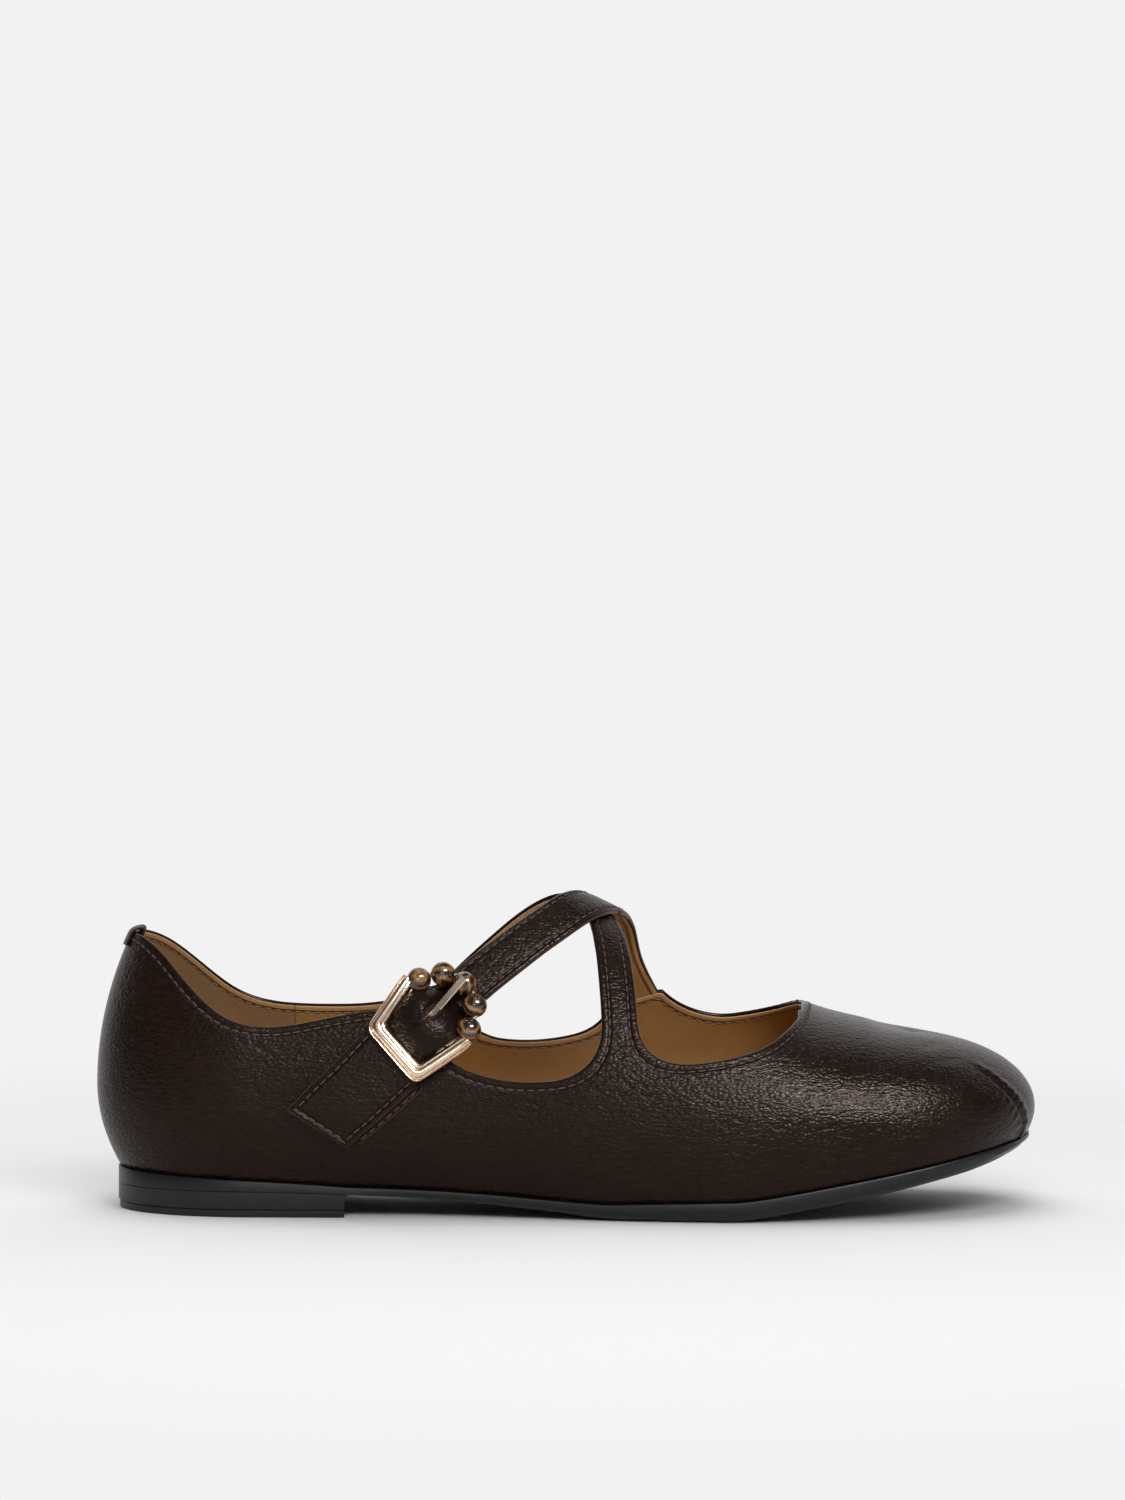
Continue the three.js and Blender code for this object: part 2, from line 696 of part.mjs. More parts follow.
// A slab of the heel, its lower and upper heights as functions of the place along the
// shoe, cut hollow at its breast.
function heelSlab(lowHeight, highHeight, inset) {
  const rings = loftStations(BREAST).map((station) =>
    [-1, 1].flatMap((side) => {
      const high = featherPoint(station, side, SOLE_MARGIN - inset, 0);
      const low = featherPoint(station, side, SOLE_MARGIN - inset, 0);
      high.setZ(highHeight(high.x));
      low.setZ(lowHeight(low.x));
      return side < 0 ? [high, low] : [low, high];
    }),
  );
  const halfWidth = last.outer(BREAST / LENGTH) * HALF_BALL;
  const radius = (halfWidth ** 2 + BREAST_HOLLOW ** 2) / (2 * BREAST_HOLLOW);
  const hollow = new THREE.CylinderGeometry(radius, radius, HOLLOW_HEIGHT, BREAST_SIDES);
  hollow.rotateX(Math.PI / 2);
  hollow.translate(BREAST - BREAST_HOLLOW + radius, 0, 0);
  return geometryFrom(ringSolid(rings).subtract(solidOf(hollow)));
}

function heelBlock() {
  const low = () => LIFT_THICKNESS + GAP;
  return heelSlab(low, (x) => soleBottom(x) - GAP, 0);
}

function topLift() {
  return heelSlab(() => 0, () => LIFT_THICKNESS, LIFT_INSET);
}

function insole() {
  const margin = -(WALL + GAP) * INSOLE_EASE;
  const rings = loftStations().map((station) => {
    const seat = featherHeight(fansOf(station).nominal);
    return [-1, 1].flatMap((side) => {
      const low = featherPoint(station, side, margin, seat);
      const high = featherPoint(station, side, margin, seat + INSOLE_THICKNESS);
      return side < 0 ? [high, low] : [low, high];
    });
  });
  return geometryFrom(ringSolid(rings));
}

// The point of one side of a section that lies at height z and a distance off the last
function pointAtHeight(station, side, z, off) {
  let low = 0;
  let high = 1 - BULGE_LEVEL;
  for (let i = 0; i < HALVINGS; i++) {
    const middle = (low + high) / 2;
    if (lifted(station, side * middle, off).z > z) low = middle;
    else high = middle;
  }
  return lifted(station, side * low, off);
}

// The small binding folded over the top of the back seam
function heelTab() {
  const topTurn = toplineTurn(0, 1);
  const top = lastPoint(0, topTurn).z;
  const reach = Math.asin(TAB_WIDTH / 2 / lastPoint(1, topTurn).y) / (Math.PI / 2);
  const near = TAB_GAP;
  const far = TAB_GAP + TAB_THICKNESS;
  const rings = [];
  for (let i = -TAB_STEPS; i <= TAB_STEPS; i++) {
    const station = (Math.abs(i) / TAB_STEPS) * reach;
    const side = i < 0 ? -1 : 1;
    const at = (drop, off) => pointAtHeight(station, side, top - drop, off);
    const overRim = (off) =>
      Array.from({ length: TAB_TURNS + 1 }, (_, turn) => {
        const angle = (turn / TAB_TURNS) * Math.PI;
        const radius = WALL / 2 + off;
        return at(WALL / 2 - radius * Math.sin(angle), radius * Math.cos(angle) - WALL / 2);
      });
    rings.push([
      at(TAB_DEPTH, far),
      ...overRim(far),
      at(TAB_DEPTH, -WALL - far),
      at(TAB_DEPTH, -WALL - near),
      ...overRim(near).reverse(),
      at(TAB_DEPTH, near),
    ]);
  }
  return geometryFrom(ringSolid(rings));
}

// Heights over the upper of what lies on the buckle strap's line
const strapOnChape = GAP + CHAPE_THICKNESS + GAP;
const frameLow = strapOnChape + STRAP_THICKNESS + GAP;
const pivotHeight = frameLow - PIVOT_DROP;
const loopRadius = PIVOT_RADIUS + GAP + CHAPE_THICKNESS / 2;
const strapOverLoop = pivotHeight + loopRadius + CHAPE_THICKNESS / 2 + GAP;
const beadHeight = STRAP_THICKNESS - STRAP_SAG + GAP + BEAD_RADIUS;
const wireEnd = frameLow + FRAME_THICKNESS / 2;

// A place by its distance from the outside of the flat bar, across to the heel side and
// up from the upper.
function onStrap(along, across, height) {
  return besideRoute(buckleRoute, TAIL_LENGTH + along, across, height);
}

function bendOntoStrap(geometry) {
  const position = geometry.getAttribute("position");
  const points = [];
  for (let i = 0; i < position.count; i++) {
    points.push(onStrap(position.getX(i), position.getY(i), position.getZ(i)));
  }
  const bent = new THREE.BufferGeometry().setFromPoints(points);
  if (geometry.index) bent.setIndex(geometry.index);
  return bent;
}

// A ribbon of leather on the strap's line. Each place has its distance along, the height
// and pitch of its middle, its edges to both sides, its thickness and its slant.
function ribbon(places) {
  const rings = places.map(({ along, height, pitch, heelEdge, toeEdge, thick, slant = 0 }) => {
    const corner = (share, up) => {
      const across = THREE.MathUtils.lerp(toeEdge, heelEdge, share);
      const run = along - Math.sin(pitch) * up - slant * across;
      return onStrap(run, across, height + Math.cos(pitch) * up);
    };
    const over = RIBBON_SHARES.map((share) => corner(share, thick / 2));
    const under = RIBBON_SHARES.map((share) => corner(share, -thick / 2)).reverse();
    return [...over, ...under];
  });
  return ringSolid(rings);
}

function strapHeight(along) {
  const { lerp, smoothstep } = THREE.MathUtils;
  const rise = smoothstep(along, BAR_BAND + GAP, PIVOT_ALONG - PIVOT_RADIUS);
  const fall = smoothstep(along, PIVOT_ALONG + PIVOT_RADIUS, BEAD_ARC_CENTRE + FALL_RUN);
  const ridge = crossing - TAIL_LENGTH;
  const climb = smoothstep(along, ridge - CLIMB_START, ridge - CLIMB_END);
  const dive = smoothstep(along, ridge + DIVE_START, lapStart - TAIL_LENGTH - GAP);
  let height = lerp(strapOnChape, strapOverLoop, rise);
  height = lerp(height, -STRAP_SAG, fall);
  height = lerp(height, GAP, climb);
  height = lerp(height, -WALL - GAP - STRAP_THICKNESS, dive);
  return height + STRAP_THICKNESS / 2;
}

function strapPitch(along) {
  const rise = strapHeight(along + PITCH_STEP) - strapHeight(along - PITCH_STEP);
  return Math.atan(rise / (2 * PITCH_STEP));
}

function strapAlongs() {
  const fineFrom = BAR_BAND;
  const fineTo = BEAD_ARC_CENTRE + BEAD_ARC_RADIUS;
  const stops = [-TAIL_LENGTH, fineFrom, fineTo, strapLength - TAIL_LENGTH];
  const steps = [STRAP_STEP, STRAP_FINE_STEP, STRAP_STEP];
  return [
    ...steps.flatMap((step, i) => {
      const count = Math.round((stops[i + 1] - stops[i]) / step);
      return Array.from({ length: count }, (_, k) =>
        THREE.MathUtils.lerp(stops[i], stops[i + 1], k / count),
      );
    }),
    stops[3],
  ];
}

// Half the distance between the insides of the frame's arms
function openingHalf(along) {
  return FRAME_WIDTH / 2 + (FRAME_FLARE * along) / ARM_LENGTH - ARM_BAND;
}

// The tail is as wide as the frame. The strap draws in below the flat bar, fills the
// frame's opening and has its own width from the beads on.
function strapHalfWidth(along) {
  const { lerp, smoothstep } = THREE.MathUtils;
  const tail = lerp(TAIL_ROOT_WIDTH, TAIL_WIDTH, Math.min(Math.max(-along / TAIL_LENGTH, 0), 1)) / 2;
  const filling = openingHalf(along) - STRAP_EASE;
  const inFrame = lerp(tail, filling, smoothstep(along, 0, BAR_BAND));
  return lerp(inFrame, STRAP_WIDTH / 2, smoothstep(along, PIVOT_ALONG, BEAD_ARC_CENTRE));
}

// The tail's end is cut on a slant.

function tailSlant(along) {
  return TAIL_SLANT * Math.max(1 - (along + TAIL_LENGTH) / TAIL_WIDTH, 0);
}

function buckleStrap() {
  const band = ribbon(
    strapAlongs().map((along) => ({
      along,
      height: strapHeight(along),
      pitch: strapPitch(along),
      heelEdge: strapHalfWidth(along),
      toeEdge: -strapHalfWidth(along),
      thick: STRAP_THICKNESS,
      slant: tailSlant(along),
    })),
  );
  const hole = new THREE.BoxGeometry(HOLE_LENGTH, PRONG_WIDTH + 2 * GAP, HOLE_DEPTH);
  hole.translate(HOLE_ALONG, 0, strapHeight(HOLE_ALONG));
  return geometryFrom(band.subtract(solidOf(bendOntoStrap(hole))));
}

// The strap that holds the buckle: it lies under the tail, shows beside it on the toe side
// and turns back round the pivot.
function chape() {
  const halfWidth = CHAPE_WIDTH / 2;
  const flat = GAP + CHAPE_THICKNESS / 2;
  const places = [];
  const start = CHAPE_END - TAIL_LENGTH;
  const turnStart = PIVOT_ALONG - loopRadius * 2;
  const count = Math.round((turnStart - start) / STRAP_STEP);
  for (let i = 0; i <= count; i++) {
    const along = THREE.MathUtils.lerp(start, turnStart, i / count);
    const showing = strapHalfWidth(Math.min(along, 0)) + CHAPE_STEP;
    const narrow = THREE.MathUtils.smoothstep(along, 0, BAR_BAND);
    const toeEdge = -THREE.MathUtils.lerp(showing, halfWidth, narrow);
    places.push({ along, height: flat, pitch: 0, toeEdge, slant: tailSlant(along) });
  }
  const bottom = pivotHeight - loopRadius;
  places.push({ along: PIVOT_ALONG - loopRadius, height: (flat + bottom) / 2, pitch: LOOP_ENTRY });
  for (let i = 0; i <= LOOP_STEPS; i++) {
    const angle = (i / LOOP_STEPS) * LOOP_TURN;
    places.push({
      along: PIVOT_ALONG + loopRadius * Math.sin(angle),
      height: pivotHeight - loopRadius * Math.cos(angle),
      pitch: angle,
    });
  }
  const band = ribbon(
    places.map((place) => ({
      toeEdge: -halfWidth,
      heelEdge: halfWidth,
      thick: CHAPE_THICKNESS,
      ...place,
    })),
  );
  const outer = loopRadius + CHAPE_THICKNESS;
  const slot = new THREE.BoxGeometry(outer * 2, PRONG_WIDTH + 2 * GAP, outer * 4);
  slot.translate(PIVOT_ALONG + GAP, 0, pivotHeight);
  return geometryFrom(band.subtract(solidOf(bendOntoStrap(slot))));
}

// A round-cornered outline with a point at least every few millimetres
function roundedOutline(corners) {
  const path = new THREE.Path();
  corners.forEach(({ along, across, round }, i) => {
    const here = new THREE.Vector2(along, across);
    const before = corners[(i + corners.length - 1) % corners.length];
    const after = corners[(i + 1) % corners.length];
    const back = new THREE.Vector2(before.along, before.across).sub(here).setLength(round);
    const on = new THREE.Vector2(after.along, after.across).sub(here).setLength(round);
    const from = here.clone().add(back);
    const to = here.clone().add(on);
    if (i === 0) path.moveTo(from.x, from.y);
    else path.lineTo(from.x, from.y);
    path.quadraticCurveTo(here.x, here.y, to.x, to.y);
  });
  path.closePath();
  const points = [];
  for (const curve of path.curves) {
    const isLine = curve.type === "LineCurve";
    const parts = isLine ? Math.ceil(curve.getLength() / OUTLINE_STEP) : CORNER_STEPS;
    for (let i = 0; i < parts; i++) points.push(curve.getPoint(i / parts));
  }
  return points;
}

function frameCorners() {
  const half = FRAME_WIDTH / 2;
  const far = half + FRAME_FLARE;
  const side = [
    { along: ARM_LENGTH, across: far, round: END_ROUND },
    { along: 0, across: half, round: CORNER },
  ];
  const inner = [
    { along: BAR_BAND, across: openingHalf(BAR_BAND), round: INNER_CORNER },
    { along: ARM_LENGTH, across: far - ARM_BAND, round: END_ROUND },
  ];
  const mirror = (corners) => corners.map((c) => ({ ...c, across: -c.across })).reverse();
  return [...side, ...mirror(side), ...mirror(inner), ...inner];
}

function armEnd(side) {
  const across = FRAME_WIDTH / 2 + FRAME_FLARE - ARM_BAND / 2;
  return onStrap(ARM_LENGTH - ARM_BAND / 2, side * across, wireEnd);
}

function beadPlaces() {
  const spacing = 2 * Math.asin((BEAD_RADIUS + BEAD_SPACE / 2) / BEAD_ARC_RADIUS);
  const centres = Array.from({ length: BEADS }, (_, i) => {
    const angle = (i - (BEADS - 1) / 2) * spacing;
    const along = BEAD_ARC_CENTRE + BEAD_ARC_RADIUS * Math.cos(angle);
    return onStrap(along, BEAD_ARC_RADIUS * Math.sin(angle), beadHeight);
  });
  const line = [armEnd(-1), ...centres, armEnd(1)];
  return centres.map((centre, i) => ({
    centre,
    axis: line[i + 2].clone().sub(line[i]).normalize(),
  }));
}

// A round rod through points, bent only at them
function rod(points, radius) {
  const up = onStrap(PIVOT_ALONG, 0, 1).sub(onStrap(PIVOT_ALONG, 0, 0));
  const rings = points.map((point, i) => {
    const before = points[Math.max(i - 1, 0)];
    const after = points[Math.min(i + 1, points.length - 1)];
    const run = after.clone().sub(before).normalize();
    const side = run.clone().cross(up).normalize();
    const lift = side.clone().cross(run);
    return Array.from({ length: ROD_SIDES }, (_, k) => {
      const angle = (k / ROD_SIDES) * 2 * Math.PI;
      return point
        .clone()
        .addScaledVector(side, radius * Math.cos(angle))
        .addScaledVector(lift, radius * Math.sin(angle));
    });
  });
  return ringSolid(rings);
}

// The buckle's frame: a flat bar and two arms, the pivot between the arms and the wire
// that carries the beads.
function buckleFrame() {
  const band = new THREE.ExtrudeGeometry(new THREE.Shape(roundedOutline(frameCorners())), {
    depth: FRAME_THICKNESS - 2 * FRAME_BEVEL,
    bevelThickness: FRAME_BEVEL,
    bevelSize: FRAME_BEVEL,
    bevelOffset: -FRAME_BEVEL,
    bevelSegments: 2,
  });
  band.translate(0, 0, frameLow + FRAME_BEVEL);
  const reach = openingHalf(PIVOT_ALONG) + PIVOT_SEAT;
  const pivot = [-1, -0.5, 0, 0.5, 1].map((share) => onStrap(PIVOT_ALONG, share * reach, pivotHeight));
  const threaded = beadPlaces().flatMap(({ centre, axis }) => [
    centre.clone().addScaledVector(axis, -BEAD_RADIUS),
    centre.clone().addScaledVector(axis, BEAD_RADIUS),
  ]);
  const wire = [armEnd(-1), ...threaded, armEnd(1)];
  const frame = solidOf(bendOntoStrap(band));
  return geometryFrom(frame.add(rod(pivot, PIVOT_RADIUS)).add(rod(wire, WIRE_RADIUS)));
}

function bead() {
  const bore = WIRE_RADIUS + GAP;
  const start = Math.asin(bore / BEAD_RADIUS);
  const profile = Array.from({ length: BEAD_RINGS + 1 }, (_, i) => {
    const angle = THREE.MathUtils.lerp(start, Math.PI - start, i / BEAD_RINGS);
    return new THREE.Vector2(BEAD_RADIUS * Math.sin(angle), -BEAD_RADIUS * Math.cos(angle));
  });
  return new THREE.LatheGeometry([...profile, profile[0].clone()], BEAD_SIDES);
}

// A solid with the same outline all across the strap. Its shape is drawn along and up.
function acrossStrap(shape, width) {
  const geometry = new THREE.ExtrudeGeometry(shape, {
    depth: width,
    bevelEnabled: false,
    curveSegments: EYE_SIDES,
  });
  geometry.translate(0, 0, -width / 2);
  geometry.rotateX(Math.PI / 2);
  return solidOf(geometry);
}

// The prong turns on the pivot, comes up through the strap and rests on the middle bead.
function prong() {
  const bore = PIVOT_RADIUS + GAP;
  const ring = new THREE.Shape().absarc(PIVOT_ALONG, pivotHeight, bore + EYE_WALL, 0, 2 * Math.PI);
  ring.holes.push(new THREE.Path().absarc(PIVOT_ALONG, pivotHeight, bore, 0, 2 * Math.PI));
  const tip = BEAD_ARC_CENTRE + BEAD_ARC_RADIUS;
  const tipLow = beadHeight + BEAD_RADIUS + GAP;
  const root = PIVOT_ALONG + bore * Math.SQRT1_2 + EYE_WALL / 3;
  const rootLow = pivotHeight + bore * Math.SQRT1_2;
  const blade = new THREE.Shape([
    new THREE.Vector2(root, rootLow),
    new THREE.Vector2(tip, tipLow),
    new THREE.Vector2(tip, tipLow + PRONG_THICKNESS),
    new THREE.Vector2(root, rootLow + PRONG_THICKNESS),
  ]);
  const solid = acrossStrap(ring, PRONG_WIDTH).add(acrossStrap(blade, PRONG_WIDTH));
  return bendOntoStrap(geometryFrom(solid));
}

// The pieces, each with its own finish
const LEATHER = { color: 0x32231b, roughness: 0.45, metalness: 0 };
const LINING = { color: 0x7a5431, roughness: 0.85, metalness: 0 };
const RUBBER = { color: 0x1c1c1c, roughness: 0.55, metalness: 0 };
const GOLD = { color: 0xd9b899, roughness: 0.18, metalness: 1 };
const STONE = { color: 0x5a3714, roughness: 0.12, metalness: 0 };

const shoe = new THREE.Group();

function place(name, geometry, finish) {
  const mesh = new THREE.Mesh(geometry, new THREE.MeshStandardMaterial(finish));
  mesh.name = name;
  shoe.add(mesh);
  return mesh;
}

place("outsole", outsole(), RUBBER);
place("heel", heelBlock(), RUBBER);
place("top_lift", topLift(), RUBBER);
place("insole", insole(), LINING);
place("upper", leatherSheet(0, -WALL), LEATHER);
place("heel_tab", heelTab(), LEATHER);
place("buckle_strap", buckleStrap(), LEATHER);
place("buckle_chape", chape(), LEATHER);
place("buckle_frame", buckleFrame(), GOLD);
place("prong", prong(), GOLD);
beadPlaces().forEach(({ centre, axis }, i) => {
  const mesh = place(`bead_${i + 1}`, bead(), STONE);
  mesh.position.copy(centre);
  mesh.quaternion.setFromUnitVectors(new THREE.Vector3(0, 1, 0), axis);
});

// The origin lies under the middle of the shoe, on the floor.
shoe.updateMatrixWorld(true);
const box = new THREE.Box3().setFromObject(shoe, true);
const middle = box.getCenter(new THREE.Vector3());
shoe.position.set(-middle.x, -middle.y, -box.min.z);

export default shoe;
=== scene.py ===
"""The looks of a flat mary jane for the right foot: leather, lining, stitching, buckle
and beads."""

import math

import bmesh
import bpy
import numpy as np
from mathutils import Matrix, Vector


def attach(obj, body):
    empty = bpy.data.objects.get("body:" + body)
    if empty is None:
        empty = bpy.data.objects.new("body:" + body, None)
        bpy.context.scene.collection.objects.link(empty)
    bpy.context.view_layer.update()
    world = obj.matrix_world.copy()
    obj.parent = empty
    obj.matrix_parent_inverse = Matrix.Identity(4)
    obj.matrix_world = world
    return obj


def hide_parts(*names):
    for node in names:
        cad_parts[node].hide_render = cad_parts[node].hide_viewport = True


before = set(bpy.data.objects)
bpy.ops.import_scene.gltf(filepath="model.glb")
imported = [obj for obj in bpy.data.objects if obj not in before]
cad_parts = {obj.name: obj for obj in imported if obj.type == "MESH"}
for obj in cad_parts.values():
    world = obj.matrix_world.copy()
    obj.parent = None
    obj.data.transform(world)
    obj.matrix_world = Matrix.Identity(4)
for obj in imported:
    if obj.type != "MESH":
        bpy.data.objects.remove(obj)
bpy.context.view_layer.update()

# Camera at the photo's angle
CAMERA_PLACE = (-0.0011, -1.591, 0.2077)
CAMERA_TILT = 3.1
FOCAL_LENGTH = 144
camera_data = bpy.data.cameras.new("camera")
camera_data.lens = FOCAL_LENGTH
camera_data.sensor_width = 36
camera_data.clip_end = 20
camera = bpy.data.objects.new("camera", camera_data)
camera.location = CAMERA_PLACE
camera.rotation_euler = (math.radians(90 - CAMERA_TILT), 0, 0)
bpy.context.scene.collection.objects.link(camera)
bpy.context.scene.camera = camera

# Millimetres in the last's own frame. X runs from heel to toe, Y to the inner side, Z up.
# The shift moves it to the row frame, whose origin is under the middle of the shoe.
FRAME_SHIFT = np.array([-125, 0.3421, 0])

# Sizes of the last
LENGTH = 250
HALF_BALL = 41.5
INSTEP_HEIGHT = 82
BACK_HEIGHT = 74.3
BACK_LEAN = 9.8
HEEL_TURN = 42
TOE_TURN = 205
TOE_RIDGE = 10
TOE_SQUARENESS = 2.25
BULGE_LEVEL = 0.17

# Sizes of the upper and its straps
WALL = 1.8
GAP = 0.35
FILLET = 15
UNDER_STRAP_WIDTH = 9.4
HORN_WIDTH = 13
HORN_LAP = 13
STRAP_THICKNESS = 1.6
STRAP_WIDTH = 12
STRAP_SAG = 1
STRAP_EASE = 0.55
FALL_RUN = 5.8
CLIMB_START = 28
CLIMB_END = 13
DIVE_START = 11.5
NARROWING = (15.5, 25)
TAIL_WIDTH = 17.7
TAIL_ROOT_WIDTH = 19.6
TAIL_LENGTH = 26.5
TAIL_SLANT = 0.29
CHAPE_THICKNESS = 1
CHAPE_WIDTH = 11
CHAPE_STEP = 1.8
CHAPE_END = 3
TAB_WIDTH = 9.4
TAB_DEPTH = 4
TAB_THICKNESS = 0.7
SKIN = 1.15
LINING_DROP = 0.45
LINING_JOINT = 0.05

# Sizes of the bottom
SOLE_THICKNESS = 5
SOLE_MARGIN = 0.4
TREAD_START = 138
TREAD_END = 166
ARCH_RISE = 6.8
ARCH_RUN = 100
ARCH_BEND = 4
TOE_SLOPE = 0.195
TOE_BEND = 8
BREAST = 67.5
BREAST_HOLLOW = 2.5
LIFT_THICKNESS = 2
LIFT_INSET = 0.35
INSOLE_THICKNESS = 2.6

# Sizes of the buckle, along the strap from the flat bar, across it, and up from the upper
FRAME_WIDTH = 19.2
FRAME_FLARE = 3.2
ARM_LENGTH = 16
BAR_BAND = 4.1
ARM_BAND = 3.5
FRAME_THICKNESS = 2.6
CORNER = 2.6
INNER_CORNER = 1.2
PIVOT_ALONG = 12.4
PIVOT_RADIUS = 0.8
PIVOT_DROP = 0.15
PIVOT_SEAT = 0.9
BEAD_RADIUS = 3.05
BEAD_SKIN = 3.2
WIRE_RADIUS = 0.55
BEAD_SPACE = 0.32
BEAD_ARC_CENTRE = 17
BEAD_ARC_RADIUS = 9.7
BEADS = 5
PRONG_WIDTH = 1.8
PRONG_THICKNESS = 1
EYE_WALL = 0.6
HOLE_ALONG = 15.9
HOLE_LENGTH = 4.6

# Stitching
STITCH_PITCH = 2.7
STITCH_LENGTH = 2.2
THREAD = 0.5
SEAM_INSIDE = 2.2
STRAP_SEAM_INSIDE = 1.7
CHAPE_SEAM_INSIDE = 0.9

# The last in sections: at, outer, inner, shift, ridge, bulge, lean, tuck
LAST_NAMES = ("outer", "inner", "shift", "ridge", "bulge", "lean", "tuck")
LAST = [
    (0, 0.747, 0.747, 0, 1.18, 0.402, 0.5, 0.145),
    (0.168, 0.747, 0.747, 0, 1.18, 0.372, 0.5, 0.13),
    (0.28, 0.785, 0.711, 0.01, 1.145, 0.345, 0.43, 0.15),
    (0.4, 0.85, 0.7, 0.055, 1.09, 0.32, 0.31, 0.17),
    (0.5, 0.92, 0.755, 0.1, 1.015, 0.308, 0.2, 0.15),
    (0.6, 0.985, 0.87, 0.145, 0.87, 0.298, 0.08, 0.11),
    (0.68, 1.0, 0.955, 0.16, 0.765, 0.294, 0, 0.08),
    (0.752, 0.97, 0.985, 0.16, 0.66, 0.298, -0.05, 0.065),
    (0.82, 0.915, 0.965, 0.155, 0.604, 0.305, -0.09, 0.055),
    (0.91, 0.86, 0.925, 0.14, 0.578, 0.314, -0.11, 0.05),
    (1, 0.82, 0.895, 0.12, 0.56, 0.323, -0.11, 0.045),
]

# The sole: at, thickness, share of it that stands upright, and how far the bevel runs in
SOLE = [
    (0, 0.94, 0.97, 0.04),
    (0.15, 0.66, 0.97, 0.04),
    (0.27, 0.46, 0.97, 0.04),
    (0.33, 0.54, 0.6, 0.8),
    (0.48, 0.76, 0.6, 1),
    (0.57, 1, 0.65, 0.8),
    (0.66, 1.14, 0.65, 0.6),
    (0.77, 1.1, 0.65, 0.6),
    (0.93, 1.05, 0.55, 0.8),
    (1, 1, 0.25, 1.3),
]

# Height of the top edge: at, outer side, or at, inner side
OUTER_TOPLINE = [
    (0, 0.908), (0.05, 0.889), (0.072, 0.842), (0.094, 0.772), (0.116, 0.704), (0.144, 0.643),
    (0.175, 0.618), (0.207, 0.621), (0.241, 0.64), (0.275, 0.66), (0.303, 0.668), (0.325, 0.648),
    (0.35, 0.585), (0.38, 0.51), (0.412, 0.468), (0.45, 0.45), (0.5, 0.459), (0.56, 0.487),
    (0.6, 0.504), (0.64, 0.512), (0.672, 0.526), (0.7, 0.549), (0.72, 0.578), (0.737, 0.614),
    (0.746, 0.636), (0.752, 0.66),
]
INNER_TOPLINE = [
    (0, 0.908), (0.05, 0.893), (0.072, 0.86), (0.094, 0.806), (0.116, 0.745), (0.14, 0.687),
    (0.175, 0.643), (0.21, 0.63), (0.25, 0.628), (0.29, 0.628), (0.33, 0.612), (0.37, 0.565),
    (0.41, 0.523), (0.46, 0.506), (0.51, 0.525), (0.56, 0.565), (0.6, 0.578), (0.64, 0.583),
    (0.672, 0.588), (0.7, 0.602), (0.72, 0.618), (0.737, 0.638), (0.746, 0.652), (0.752, 0.66),
]

# Middle lines of the straps: at, turn
UNDER_ROUTE = [
    (0.556, -0.806), (0.556, -0.617), (0.553, -0.427), (0.545, -0.213), (0.528, 0),
    (0.492, 0.213), (0.443, 0.403), (0.395, 0.545), (0.35, 0.664), (0.3, 0.783),
]
BUCKLE_ROUTE = [
    (0.2395, -0.868), (0.26, -0.8245), (0.28, -0.7865), (0.321, -0.7), (0.358, -0.619),
    (0.398, -0.522), (0.45, -0.391), (0.498, -0.225), (0.534, 0), (0.548, 0.213),
    (0.559, 0.391), (0.58, 0.522), (0.602, 0.628),
]

# Soft creases of the leather: x, turn, angle from the heel-toe line, half length, half
# width, and height, which is negative in a trough and positive in a ridge
CREASES = [
    (232, -0.28, 20, 9, 1.6, -0.22),
    (229, -0.42, 12, 8, 1.5, -0.16),
    (228, 0.28, -20, 9, 1.6, -0.2),
    (226, 0.44, -12, 8, 1.5, -0.14),
    (150, -0.66, 8, 20, 4, -0.2),
    (160, -0.56, -6, 16, 4, 0.18),
    (128, -0.6, 64, 12, 3.5, -0.18),
    (118, -0.78, 20, 16, 4, -0.16),
    (186, -0.7, -4, 22, 5, 0.2),
    (60, -0.84, 10, 18, 5, -0.16),
    (30, -0.72, 70, 14, 5, 0.14),
    (150, 0.62, 8, 20, 4, -0.2),
    (120, 0.72, 14, 18, 4, -0.16),
    (182, 0.64, -4, 20, 5, 0.18),
    (66, 0.8, 6, 18, 5, -0.14),
]


def natural_spline(xs, ys):
    """A natural cubic spline through points with rising xs."""
    xs, ys = np.array(xs, float), np.array(ys, float)
    step = np.diff(xs)
    count = len(xs)
    system = np.eye(count)
    right = np.zeros(count)
    for i in range(1, count - 1):
        system[i, i - 1 : i + 2] = step[i - 1], 2 * (step[i - 1] + step[i]), step[i]
        right[i] = 6 * ((ys[i + 1] - ys[i]) / step[i] - (ys[i] - ys[i - 1]) / step[i - 1])
    bend = np.linalg.solve(system, right)

    def value(x):
        t = np.clip(x, xs[0], xs[-1])
        i = np.clip(np.searchsorted(xs, t, side="right") - 1, 0, count - 2)
        a = (xs[i + 1] - t) / step[i]
        b = 1 - a
        cubic = ((a**3 - a) * bend[i] + (b**3 - b) * bend[i + 1]) * step[i] ** 2 / 6
        return a * ys[i] + b * ys[i + 1] + cubic

    return value


LAST_AT = [row[0] for row in LAST]
last = {
    name: natural_spline(LAST_AT, [row[k + 1] for row in LAST]) for k, name in enumerate(LAST_NAMES)
}
outer_topline = natural_spline(*zip(*OUTER_TOPLINE))
inner_topline = natural_spline(*zip(*INNER_TOPLINE))
THROAT_TIP = OUTER_TOPLINE[-1][0] * LENGTH


def sole_column(column, at):
    return np.interp(at, [row[0] for row in SOLE], [row[column] for row in SOLE])


def unit(vectors):
    return vectors / np.maximum(np.linalg.norm(vectors, axis=-1, keepdims=True), 1e-12)


